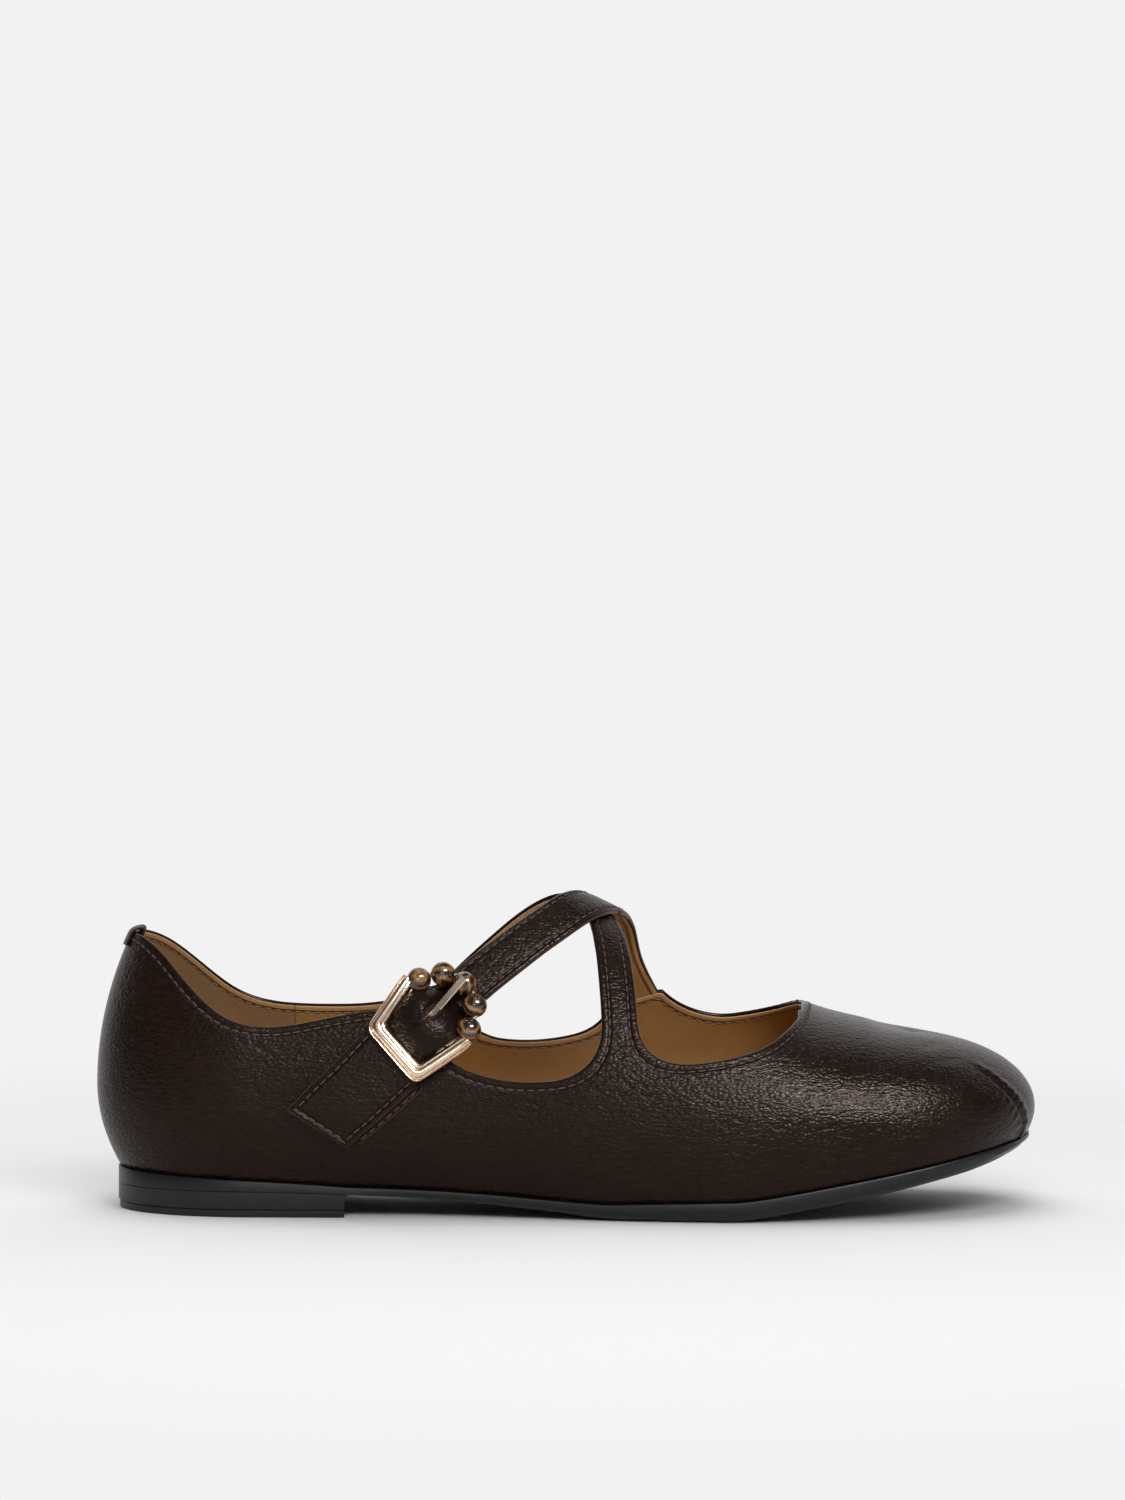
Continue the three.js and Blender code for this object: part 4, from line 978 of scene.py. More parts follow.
def lining_finish():
    """Tan lining: smooth in front, brushed round the heel, paler along its top edge."""
    shader = Shader("tan_lining", Specular_IOR_Level=0.3)
    x = shader.node("ShaderNodeSeparateXYZ", {}, {0: shader.place()}, "X")
    brushed = 1 - x.between(NAP_END - 0.001, NAP_END)
    joint = x.bell(NAP_END, 0.0003)
    grain = shader.cells(1500)
    nap = shader.noise(1900, 3, 0.7)
    clouds = shader.noise(120, 3, 0.6)
    edge = shader.attribute("edge_distance")
    strip = 1 - edge.between(1.5, 1.9)
    groove = edge.bell(SEAM_INSIDE, 0.35)
    colour = shader.colours((0.33, 0.155, 0.038), (0.42, 0.215, 0.06), clouds)
    napped = shader.colours((0.26, 0.125, 0.036), (0.33, 0.19, 0.08), nap * 0.6 + clouds * 0.5)
    colour = shader.colours(colour, napped, brushed)
    colour = shader.colours(colour, (0.52, 0.29, 0.115), strip * 0.85)
    # Painted shade in the stitching groove, and the dark joint between the two linings.
    colour = shader.colours(colour, (0.06, 0.028, 0.01), groove * 0.75 + joint * 0.6)
    height = grain * -0.5 + nap * (0.3 + brushed * 0.9) + clouds * 0.8 - groove * 2.5 + strip * 1.6
    roughness = 0.62 + brushed * 0.3
    return shader.finish(
        Base_Color=colour, Roughness=roughness, Normal=shader.bump(height, 0.0001)
    )


def gold_finish():
    shader = Shader("pale_gold", Metallic=1.0)
    cloud = shader.noise(160, 2)
    scratch = shader.noise(900, 2, 0.5, shader.place(scale=(0.3, 1, 3)))
    colour = shader.colours((0.72, 0.56, 0.43), (0.8, 0.65, 0.52), cloud)
    return shader.finish(
        Base_Color=colour,
        Roughness=0.16 + cloud * 0.08,
        Normal=shader.bump(scratch, 0.000004),
    )


def stone_finish(number):
    """Polished brown stone with silky bands, turned a different way in each bead."""
    shader = Shader(f"banded_stone_{number}", Coat_Weight=1.0, Coat_Roughness=0.03)
    turn = (0.7 * number, 1.1 * number, 0.5 + 0.9 * number)
    place = shader.place(turn=turn)
    bend = shader.noise(180, 2, place=place)
    x = shader.node("ShaderNodeSeparateXYZ", {}, {0: place}, "X")
    wave = shader.node(
        "ShaderNodeMath", {"operation": "SINE"}, {0: x * 3000 + bend * 10 + number * 2.1}
    )
    fibres = shader.noise(1500, 3, 0.6, shader.place(scale=(3.2, 0.5, 0.5), turn=turn))
    band = (wave * 0.3 + 0.5 + (fibres - 0.5) * 1.3).between(0.1, 0.95)
    colour = shader.ramp(
        band,
        [
            (0.0, (0.010, 0.0045, 0.002)),
            (0.42, (0.045, 0.018, 0.006)),
            (0.72, (0.17, 0.068, 0.012)),
            (1.0, (0.42, 0.2, 0.045)),
        ],
    )
    return shader.finish(Base_Color=colour, Roughness=0.16 + fibres * 0.12)


def rubber_finish(name, tone, gloss):
    shader = Shader(name, Specular_IOR_Level=0.32)
    streaks = shader.noise(240, 3, 0.6, shader.place(scale=(0.12, 0.12, 4)))
    fine = shader.noise(1600, 2)
    colour = shader.colours(tuple(c * 0.7 for c in tone), tuple(c * 1.4 for c in tone), streaks)
    return shader.finish(
        Base_Color=colour,
        Roughness=gloss + streaks * 0.16,
        Normal=shader.bump(streaks * 0.8 + fine * 0.25, 0.00003),
    )


def thread_finish(name, tone):
    shader = Shader(name, Specular_IOR_Level=0.3)
    twist = shader.noise(2400, 2, 0.6)
    colour = shader.colours(tuple(c * 0.7 for c in tone), tuple(c * 1.3 for c in tone), twist)
    return shader.finish(Base_Color=colour, Roughness=0.5 + twist * 0.2)


DARK = (0.0075, 0.0033, 0.0021)
LIGHT = (0.022, 0.0105, 0.0068)
# Colour of the painted highlight along the cut edges of the straps.
EDGE_HIGHLIGHT = (0.11, 0.06, 0.036)
upper_leather = leather_finish("grained_leather", SEAM_INSIDE, DARK, LIGHT)
strap_leather = leather_finish("strap_leather", STRAP_SEAM_INSIDE, DARK, LIGHT, EDGE_HIGHLIGHT)
chape_leather = leather_finish("chape_leather", CHAPE_SEAM_INSIDE, DARK, LIGHT, EDGE_HIGHLIGHT)
bare_leather = plain_leather("small_leather", DARK, LIGHT)
raw_edge = plain_leather("raw_leather_edge", (0.1, 0.054, 0.03), (0.24, 0.14, 0.08), 0.0002)
tan_lining = lining_finish()
pale_gold = gold_finish()
sole_black = rubber_finish("sole_black", (0.0085, 0.0085, 0.009), 0.3)
heel_black = rubber_finish("heel_black", (0.012, 0.012, 0.0125), 0.34)
brown_thread = thread_finish("brown_thread", (0.085, 0.052, 0.038))
tan_thread = thread_finish("tan_thread", (0.26, 0.14, 0.055))


# Upper
upper = rounded_shell("upper_skin", 0, 0, -SKIN, upper_leather)
lining = rounded_shell("upper_lining", LINING_DROP, -SKIN - LINING_JOINT, -WALL, tan_lining)


CALM_PLACE = (207, 5.5)
CALM_REACH = (13, 14)


def calm_instep(obj):
    """Evens out the ridge where the curve of the toe begins."""
    group = obj.vertex_groups.new(name="instep")
    for vertex in obj.data.vertices:
        place = np.array(vertex.co[:2]) * 1000 - FRAME_SHIFT[:2]
        away = (place - CALM_PLACE) / CALM_REACH
        weight = math.exp(-(away @ away))
        if weight > 0.02:
            group.add([vertex.index], weight, "REPLACE")
    modifier = obj.modifiers.new("calm", "SMOOTH")
    modifier.vertex_group = "instep"
    modifier.factor = 0.5
    modifier.iterations = 70
    finished(obj)
    obj.vertex_groups.clear()


calm_instep(upper)
calm_instep(lining)


# Heel tab
def at_height(station, side, z, off):
    station = np.full(np.shape(z), station, float)
    low, high = np.zeros_like(station), np.full_like(station, 1 - BULGE_LEVEL)
    for _ in range(HALVINGS):
        middle = (low + high) / 2
        above = lifted(station, side * middle, off)[..., 2] > z
        low, high = np.where(above, middle, low), np.where(above, high, middle)
    return lifted(station, side * low, off)


def tab_section():
    """The folded binding's section as drops below the top and distances off the wall."""
    inner, outer = 0.12, 0.12 + TAB_THICKNESS
    arc = np.linspace(0, math.pi, 13)
    middle = -WALL / 2
    over, under = [
        [
            (WALL / 2 - (WALL / 2 + off) * math.sin(a), middle + (WALL / 2 + off) * math.cos(a))
            for a in arc
        ]
        for off in (outer, inner)
    ]
    down = np.linspace(TAB_DEPTH, WALL / 2, 6, endpoint=False)
    left = [(d, outer) for d in down]
    right = [(d, -WALL - outer) for d in down[::-1]]
    back = [(d, -WALL - inner) for d in down]
    end = [(d, inner) for d in down[::-1]]
    return np.array(left + over + right + back + under[::-1] + end)


def heel_tab():
    top_turn = topline_turn(np.zeros(1), 1)
    top = last_point(np.zeros(1), top_turn)[0, 2]
    reach = math.asin(TAB_WIDTH / 2 / last_point(1.0, top_turn[0])[1]) / (math.pi / 2)
    section = tab_section()
    rings = []
    for i in range(-12, 13):
        side = -1 if i < 0 else 1
        station = abs(i) / 12 * reach
        rings.append(at_height(station, side, top - section[:, 0], section[:, 1]))
    obj = lofted("heel_binding", rings, [bare_leather], sharp=None)
    modifier = obj.modifiers.new("soft", "BEVEL")
    modifier.width = 0.0002
    modifier.segments = 2
    modifier.limit_method = "ANGLE"
    modifier.angle_limit = math.radians(50)
    return finished(obj)


tab = heel_tab()

# Heights on the buckle strap's line
STRAP_ON_CHAPE = GAP + CHAPE_THICKNESS + GAP
FRAME_LOW = STRAP_ON_CHAPE + STRAP_THICKNESS + GAP
PIVOT_HEIGHT = FRAME_LOW - PIVOT_DROP
LOOP_RADIUS = PIVOT_RADIUS + GAP + CHAPE_THICKNESS / 2
STRAP_OVER_LOOP = PIVOT_HEIGHT + LOOP_RADIUS + CHAPE_THICKNESS / 2 + GAP
BEAD_HEIGHT = STRAP_THICKNESS - STRAP_SAG + GAP + BEAD_RADIUS
WIRE_END = FRAME_LOW + FRAME_THICKNESS / 2
RIDGE = CROSSING - TAIL_LENGTH


def strap_height(along):
    rise = smooth(along, BAR_BAND + GAP, PIVOT_ALONG - PIVOT_RADIUS)
    fall = smooth(along, PIVOT_ALONG + PIVOT_RADIUS, BEAD_ARC_CENTRE + FALL_RUN)
    climb = smooth(along, RIDGE - CLIMB_START, RIDGE - CLIMB_END)
    dive = smooth(along, RIDGE + DIVE_START, LAP_START - TAIL_LENGTH - GAP)
    height = mix(STRAP_ON_CHAPE, STRAP_OVER_LOOP, rise)
    height = mix(height, -STRAP_SAG, fall)
    height = mix(height, GAP, climb)
    height = mix(height, -WALL / 2 - STRAP_THICKNESS / 2, dive)
    return height + STRAP_THICKNESS / 2


def opening_half(along):
    """Half the distance between the insides of the frame's arms."""
    return FRAME_WIDTH / 2 + FRAME_FLARE * along / ARM_LENGTH - ARM_BAND


def strap_half_width(along):
    """The tail is as wide as the frame; inside the frame the strap fills the opening."""
    tail = mix(TAIL_ROOT_WIDTH, TAIL_WIDTH, np.clip(-along / TAIL_LENGTH, 0, 1)) / 2
    in_frame = mix(tail, opening_half(along) - STRAP_EASE, smooth(along, 0, BAR_BAND))
    return mix(in_frame, STRAP_WIDTH / 2, smooth(along, *NARROWING))


def tail_slant(along):
    return TAIL_SLANT * np.maximum(1 - (along + TAIL_LENGTH) / TAIL_WIDTH, 0)


# Distances from a strap's edge at which its section has points
EDGE_PLACES = (0.9, 1.25, 1.5, 1.7, 1.9, 2.2, 2.8, 3.6, 4.6)
UNDER_PLACES = (0.9, 2.2, 4.6)
ARC_STEPS = 7
ARC_START = 0.25
MIDDLE_GAP = 0.2
GROOVE = 0.14
GROOVE_WIDTH = 0.3
NO_SEAM = 6


def places_within(wanted, half_width):
    """Distances from the edge, those past the middle line drawn in before it."""
    kept = [d for d in wanted if d < half_width - MIDDLE_GAP]
    while len(kept) < len(wanted):
        kept.append(mix(kept[-1], half_width, 0.3))
    return kept


def ribbon(name, rows, materials, indices=None):
    """A strap with half round edges, a crown and a groove at its stitching. A row gives
    along, height, pitch, heel edge, toe edge, thickness, slant, crown, share of seam and
    distance from the strap's end."""
    rings, depths = [], []
    for along, height, pitch, heel, toe, thick, slant, crown, seam, from_end in rows:
        t, wide = thick / 2, heel - toe
        top = []
        for d in places_within(EDGE_PLACES, wide / 2):
            swell = crown * (1 - (1 - 2 * d / wide) ** 2)
            off_seam = (min(d, from_end) - STRAP_SEAM_INSIDE) / GROOVE_WIDTH
            top.append((d, t + swell - GROOVE * seam * math.exp(-(off_seam**2))))
        arc = [
            (t * (1 - math.sin(a)), t * math.cos(a))
            for a in np.linspace(ARC_START, math.pi - ARC_START, ARC_STEPS)
        ]
        low = [(d, -t) for d in places_within(UNDER_PLACES, wide / 2)]
        half = top[::-1] + arc + low
        ring = [(heel - d, up, d) for d, up in half] + [(toe + d, up, d) for d, up in half[::-1]]
        across, up, depth = np.array(ring).T
        run = along - math.sin(pitch) * up - slant * across
        rings.append(on_strap(run, across, height + math.cos(pitch) * up))
        depths.append(np.minimum(mix(NO_SEAM, depth, seam), from_end))
    kinds = None
    if indices:
        shown = [0] * (len(EDGE_PLACES) + ARC_STEPS)
        under = [1] * (2 * len(UNDER_PLACES))
        kinds = shown + under + shown + indices
    return lofted(name, rings, materials, kinds, None, attributes={"edge_distance": depths})


HORN_WALL_REACH = 2.5
STRAP_END = LAP_START - TAIL_LENGTH + HORN_WALL_REACH
TAIL_END_PLACES = np.array([0, 0.25, 0.6, 1.0, 1.35, 1.7, 2.05, 2.5])
EDGE_DROOP = 1.6
LOOP_HALF = 4.2


def strap_alongs():
    """Places of the strap's sections, closest at the tail's end and in the buckle."""
    return np.concatenate(
        [
            TAIL_END_PLACES - TAIL_LENGTH,
            np.arange(3.2 - TAIL_LENGTH, 0, 1.0),
            np.arange(0, BEAD_ARC_CENTRE + BEAD_ARC_RADIUS, 0.6),
            np.arange(BEAD_ARC_CENTRE + BEAD_ARC_RADIUS, STRAP_END, 1.0),
        ]
    )


def pitch_of(along):
    return np.arctan(strap_height(along + 0.5) - strap_height(along - 0.5))


def sewn_share(along):
    """One where the strap's stitching shows, nothing inside the frame."""
    return 1 - smooth(along, -1.5, 1) * (1 - smooth(along, 15, 19))


def buckle_strap():
    """The strap on top. Inside the frame it swells like a pillow and its edges turn down,
    its tail's end is rounded off, and its inner end thins into the wall of the horn."""
    alongs = strap_alongs()
    widths = strap_half_width(alongs)
    filling = smooth(alongs, 1, BAR_BAND + 3) * (1 - smooth(alongs, 12, 19))
    droop = EDGE_DROOP * smooth(alongs, 6, 11) * (1 - smooth(alongs, 20, 25))
    thin = smooth(alongs, STRAP_END - 12, STRAP_END - 4)
    from_end = alongs + TAIL_LENGTH
    blunt = np.interp(from_end, [0, 0.25, 0.6], [0.4, 0.8, 1])
    rows = zip(
        alongs,
        strap_height(alongs) - droop,
        pitch_of(alongs),
        widths,
        -widths,
        mix(STRAP_THICKNESS, STRAP_THICKNESS * 0.7, thin) * blunt,
        tail_slant(alongs),
        mix(0.26, 1.3, filling) + droop,
        sewn_share(alongs),
        from_end,
    )
    obj = ribbon("crossed_strap", rows, [strap_leather, tan_lining, raw_edge], [2, 2])
    rings = []
    for depth in (-3.0, 0.0, 3.0):
        angle = np.linspace(0, 2 * math.pi, 20, endpoint=False)
        half = PRONG_WIDTH / 2 + GAP
        along = HOLE_ALONG + HOLE_LENGTH / 2 * np.cos(angle)
        rings.append(on_strap(along, half * np.sin(angle), strap_height(HOLE_ALONG) + depth))
    return combined(obj, [lofted("hole", rings, [bare_leather])], "DIFFERENCE")


def chape():
    """The strap that holds the buckle, looped round the pivot, with a slot for the prong."""
    flat = GAP + CHAPE_THICKNESS / 2
    half = CHAPE_WIDTH / 2
    start, turn_start = CHAPE_END - TAIL_LENGTH, PIVOT_ALONG - LOOP_RADIUS * 2
    rows = []
    for along in np.linspace(start, turn_start, 36):
        showing = strap_half_width(np.minimum(along, 0)) + CHAPE_STEP
        toe = -mix(showing, half, smooth(along, 0, BAR_BAND))
        slant = float(tail_slant(along))
        rows.append((along, flat, 0, half, toe, CHAPE_THICKNESS, slant, 0.05, 1, NO_SEAM))
    under = (flat + PIVOT_HEIGHT - LOOP_RADIUS) / 2
    entry = (PIVOT_ALONG - LOOP_RADIUS, under, 0.25, 4.6, -4.6)
    rows.append((*entry, CHAPE_THICKNESS, 0, 0.05, 1, NO_SEAM))
    for angle in np.linspace(0, 3.4, 18):
        along = PIVOT_ALONG + LOOP_RADIUS * math.sin(angle)
        height = PIVOT_HEIGHT - LOOP_RADIUS * math.cos(angle)
        place = (along, height, angle, LOOP_HALF, -LOOP_HALF)
        rows.append((*place, CHAPE_THICKNESS, 0, 0.05, 1, NO_SEAM))
    obj = ribbon("buckle_holder", rows, [chape_leather])
    outer = LOOP_RADIUS + CHAPE_THICKNESS
    across = PRONG_WIDTH / 2 + GAP
    corners = np.array([(-1, -1), (1, -1), (1, 1), (-1, 1)])
    rings = []
    for share in np.linspace(-1, 1, 5):
        along = PIVOT_ALONG + GAP + corners[:, 0] * outer
        rings.append(on_strap(along, corners[:, 1] * across, PIVOT_HEIGHT + share * outer * 2))
    return combined(obj, [lofted("slot", rings, [chape_leather])], "DIFFERENCE")


strap = buckle_strap()
holder = chape()


# Buckle
def rounded_path(corners, lines=10, bends=10):
    """A path over corners (along, across, round). Its points match another path's that
    has as many corners."""
    points = []
    for k, (along, across, bend) in enumerate(corners):
        here = np.array([along, across])
        if bend == 0:
            points.append([here])
            continue
        before = np.array(corners[k - 1][:2])
        after = np.array(corners[k + 1][:2])
        start = here + unit(before - here) * bend
        end = here + unit(after - here) * bend
        shares = np.linspace(0, 1, bends)[:, None]
        curve = mix(mix(start, here, shares), mix(here, end, shares), shares)
        points.append(list(curve))
    path = []
    for k, group in enumerate(points):
        path += group
        if k + 1 < len(points):
            shares = np.linspace(0, 1, lines + 2)[1:-1, None]
            path += list(mix(group[-1], points[k + 1][0], shares))
    return np.array(path)


# The band's section, from its outer edge to its inner one: share of the width, share of
# the height. A thin outer lip, a groove, a satin face, a fine line and a bright bevel.
BAND_SECTION = [
    (0.0, 0.1), (0.0, 0.55), (0.015, 0.68), (0.05, 0.75), (0.09, 0.73), (0.115, 0.6),
    (0.14, 0.48), (0.17, 0.5), (0.2, 0.72), (0.235, 0.88), (0.3, 0.96), (0.42, 1.0),
    (0.54, 0.99), (0.62, 0.94), (0.655, 0.84), (0.67, 0.8), (0.685, 0.84), (0.73, 0.86),
    (0.83, 0.74), (0.92, 0.52), (0.985, 0.3), (1.0, 0.18), (0.985, 0.06), (0.9, 0.0),
    (0.5, 0.0), (0.1, 0.0), (0.03, 0.03),
]
ARM_REACH = 1.1
BAND_SPREAD = 0.6


def buckle_band():
    """The band's sections, from the end of one arm round the bar to the other's."""
    half = FRAME_WIDTH / 2
    end = ARM_LENGTH + ARM_REACH
    far = half + FRAME_FLARE * end / ARM_LENGTH + BAND_SPREAD / 2
    bar, arm = BAR_BAND + BAND_SPREAD, ARM_BAND + BAND_SPREAD
    inner_half = half + (far - half) * bar / end - arm
    outer = [(end, far, 0), (0, half, CORNER), (0, -half, CORNER), (end, -far, 0)]
    inner = [
        (end, far - arm, 0),
        (bar, inner_half, INNER_CORNER),
        (bar, -inner_half, INNER_CORNER),
        (end, arm - far, 0),
    ]
    outer_path, inner_path = rounded_path(outer), rounded_path(inner)
    section = np.array(BAND_SECTION)
    rings = []
    total = len(outer_path)
    for k in range(total):
        edge = min(k, total - 1 - k)
        swell = (0.8, 0.95, 1.0)[min(edge, 2)]
        width = 0.5 + (section[:, 0] - 0.5) * swell
        height = 0.5 + (section[:, 1] - 0.5) * swell
        place = mix(outer_path[k], inner_path[k], width[:, None])
        rings.append(on_strap(place[:, 0], place[:, 1], FRAME_LOW + FRAME_THICKNESS * height))
    return np.array(rings)


def arm_end(side):
    across = FRAME_WIDTH / 2 + FRAME_FLARE - ARM_BAND / 2
    return on_strap(ARM_LENGTH - ARM_BAND / 2, side * across, WIRE_END)


def bead_places():
    """The centre and the direction of the bore of each bead on its arc."""
    spacing = 2 * math.asin((BEAD_RADIUS + BEAD_SPACE / 2) / BEAD_ARC_RADIUS)
    centres = []
    for i in range(BEADS):
        angle = (i - (BEADS - 1) / 2) * spacing
        along = BEAD_ARC_CENTRE + BEAD_ARC_RADIUS * math.cos(angle)
        centres.append(on_strap(along, BEAD_ARC_RADIUS * math.sin(angle), BEAD_HEIGHT))
    line = [arm_end(-1), *centres, arm_end(1)]
    return [(c, unit(line[i + 2] - line[i])) for i, c in enumerate(centres)]


def rod(points, radius, sides=16):
    """Sections of a round bar along a path."""
    up = on_strap(PIVOT_ALONG, 0, 1) - on_strap(PIVOT_ALONG, 0, 0)
    rings = []
    angles = np.linspace(0, 2 * math.pi, sides, endpoint=False)[:, None]
    for i, point in enumerate(points):
        run = unit(points[min(i + 1, len(points) - 1)] - points[max(i - 1, 0)])
        side = unit(np.cross(run, up))
        lift = np.cross(side, run)
        rings.append(point + side * radius * np.cos(angles) + lift * radius * np.sin(angles))
    return rings


def buckle_frame():
    band = lofted("buckle_band", buckle_band(), [pale_gold], sharp=60)
    reach = opening_half(PIVOT_ALONG) + PIVOT_SEAT
    pivot = [on_strap(PIVOT_ALONG, s * reach, PIVOT_HEIGHT) for s in np.linspace(-1, 1, 7)]
    threaded = []
    for centre, axis in bead_places():
        threaded += [centre - axis * BEAD_RADIUS, centre + axis * BEAD_RADIUS]
    wire = [arm_end(-1), *threaded, arm_end(1)]
    rods = [
        lofted("pivot", rod(pivot, PIVOT_RADIUS), [pale_gold]),
        lofted("wire", rod(wire, WIRE_RADIUS), [pale_gold]),
    ]
    combined(band, rods, "UNION")
    band.data.set_sharp_from_angle(angle=math.radians(60))
    return band


def bead(number, centre, axis):
    start = math.asin((WIRE_RADIUS + 0.1) / BEAD_SKIN)
    angles = np.linspace(start, math.pi - start, 30)
    profile = [(BEAD_SKIN * math.sin(a), -BEAD_SKIN * math.cos(a)) for a in angles]
    side = unit(np.cross(axis, [0, 0, 1]))
    lift = np.cross(side, axis)
    rings = []
    for turn in np.linspace(0, 2 * math.pi, 44, endpoint=False):
        out = side * math.cos(turn) + lift * math.sin(turn)
        rings.append([centre + out * r + axis * z for r, z in profile])
    return lofted(f"stone_bead_{number}", rings, [stone_finish(number)], closed=True, sharp=60)


def prong():
    bore = PIVOT_RADIUS + GAP
    centre = np.array([PIVOT_ALONG, PIVOT_HEIGHT])
    width = PRONG_WIDTH / 2
    section = [(-width, 0.15), (-width * 0.85, 0), (width * 0.85, 0), (width, 0.15)]
    section += [(width, 0.8), (width * 0.8, 1), (-width * 0.8, 1), (-width, 0.8)]
    section = np.array(section)
    eye = []
    for angle in np.linspace(0, 2 * math.pi, 36, endpoint=False):
        out = np.array([math.cos(angle), math.sin(angle)])
        radius = bore + EYE_WALL * section[:, 1]
        place = centre + out * radius[:, None]
        eye.append(on_strap(place[:, 0], section[:, 0], place[:, 1]))
    ring = lofted("prong", eye, [pale_gold], closed=True)
    tip = BEAD_ARC_CENTRE + BEAD_ARC_RADIUS
    tip_low = BEAD_HEIGHT + BEAD_RADIUS + GAP
    root = PIVOT_ALONG + bore * math.sqrt(0.5) + EYE_WALL / 3
    root_low = PIVOT_HEIGHT + bore * math.sqrt(0.5)
    blade = []
    for share in np.linspace(0, 1, 14):
        along = np.full(len(section), mix(root, tip, share))
        up = mix(root_low, tip_low, share) + PRONG_THICKNESS * section[:, 1]
        blade.append(on_strap(along, section[:, 0], up))
    arm = lofted("blade", blade, [pale_gold])
    combined(ring, [arm], "UNION")
    ring.data.set_sharp_from_angle(angle=math.radians(40))
    ring.name = "buckle_prong"
    return ring


frame_metal = buckle_frame()
prong_metal = prong()
beads = [bead(i + 1, c, a) for i, (c, a) in enumerate(bead_places())]


# Bottom
def feather_point(station, side, margin, height):
    outward = last_normal(station, side)
    outward[..., 2] = 0
    point = last_point(station, side) + unit(outward) * margin
    point[..., 2] = height
    return point


def both_sides(station, profile):
    """A ring from (margin, height) pairs, drawn down the outer side and up the inner."""
    ring = [feather_point(station, -1.0, m, z) for m, z in profile]
    ring += [feather_point(station, 1.0, m, z) for m, z in profile[::-1]]
    return np.array(ring)


def outsole():
    rings = []
    for station in fine_stations():
        nominal = float(fans_of(station)[3])
        at = nominal / LENGTH
        thick = SOLE_THICKNESS * float(sole_column(1, at))
        upright, bevel = float(sole_column(2, at)), float(sole_column(3, at))
        top = float(feather_height(nominal)) - GAP
        shoulder = top - (thick - GAP) * upright
        bottom = float(sole_bottom(nominal))
        run = thick * bevel
        soft = 0.25
        drop = min(0.5, (shoulder - bottom) * 0.6)
        profile = [
            (SOLE_MARGIN - 3, top),
            (SOLE_MARGIN - soft, top),
            (SOLE_MARGIN - soft * 0.3, top - soft * 0.3),
            (SOLE_MARGIN, top - soft),
            (SOLE_MARGIN, shoulder + soft),
            (SOLE_MARGIN - run * 0.08, shoulder - drop * 0.2),
            (SOLE_MARGIN - run * 0.3, mix(shoulder, bottom, 0.45)),
            (SOLE_MARGIN - run * 0.6, mix(shoulder, bottom, 0.8)),
            (SOLE_MARGIN - run, bottom),
            (SOLE_MARGIN - run - 4, bottom),
        ]
        rings.append(both_sides(station, profile))
    return lofted("sole_edge", rings, [sole_black], sharp=50)


def heel_part(name, low_height, high_height, inset, material):
    """A layer of the heel between two heights, with the hollow of the heel's breast."""
    rings = []
    soft = 0.3
    for station in fine_stations(station_of(BREAST)):
        x = float(fans_of(station)[3])
        low, high = low_height(x), high_height(x)
        out = SOLE_MARGIN - inset
        profile = [
            (out - 3, high),
            (out - soft * 0.5, high),
            (out, high - soft * 0.5),
            (out, low + soft),
            (out - soft * 0.3, low + soft * 0.3),
            (out - soft, low),
            (out - 3, low),
        ]
        rings.append(both_sides(station, profile))
    obj = lofted(name, rings, [material], sharp=50)
    half_width = float(last["outer"](BREAST / LENGTH)) * HALF_BALL
    radius = (half_width**2 + BREAST_HOLLOW**2) / (2 * BREAST_HOLLOW)
    angles = np.linspace(0, 2 * math.pi, 300, endpoint=False)
    centre = BREAST - BREAST_HOLLOW + radius
    rings = [
        np.stack([centre + radius * np.cos(angles), radius * np.sin(angles), 0 * angles + z], 1)
        for z in (-20, 30)
    ]
    combined(obj, [lofted("hollow", rings, [material])], "DIFFERENCE")
    obj.data.set_sharp_from_angle(angle=math.radians(40))
    return obj


def insole():
    """The footbed, whose distance to an edge is set so that no strip or groove shows."""
    rings = []
    for station in fine_stations():
        seat = float(feather_height(fans_of(station)[3])) + 0.02
        top = seat + INSOLE_THICKNESS
        profile = [(-8, top - 0.2), (-4, top), (-2.6, top), (-2.15, top - 0.4), (-2.15, seat)]
        rings.append(both_sides(station, profile))
    whole = {"edge_distance": np.full(np.shape(rings)[:2], NO_SEAM)}
    return lofted("footbed", rings, [tan_lining], sharp=50, attributes=whole)


LIFT_JOINT = 0.08
SEAT_JOINT = 0.04


sole = outsole()
heel = heel_part(
    "heel_block",
    lambda x: LIFT_THICKNESS + LIFT_JOINT,
    lambda x: float(sole_bottom(x)) - SEAT_JOINT,
    0,
    heel_black,
)
lift = heel_part("heel_lift", lambda x: 0, lambda x: LIFT_THICKNESS, LIFT_INSET, heel_black)
footbed = insole()


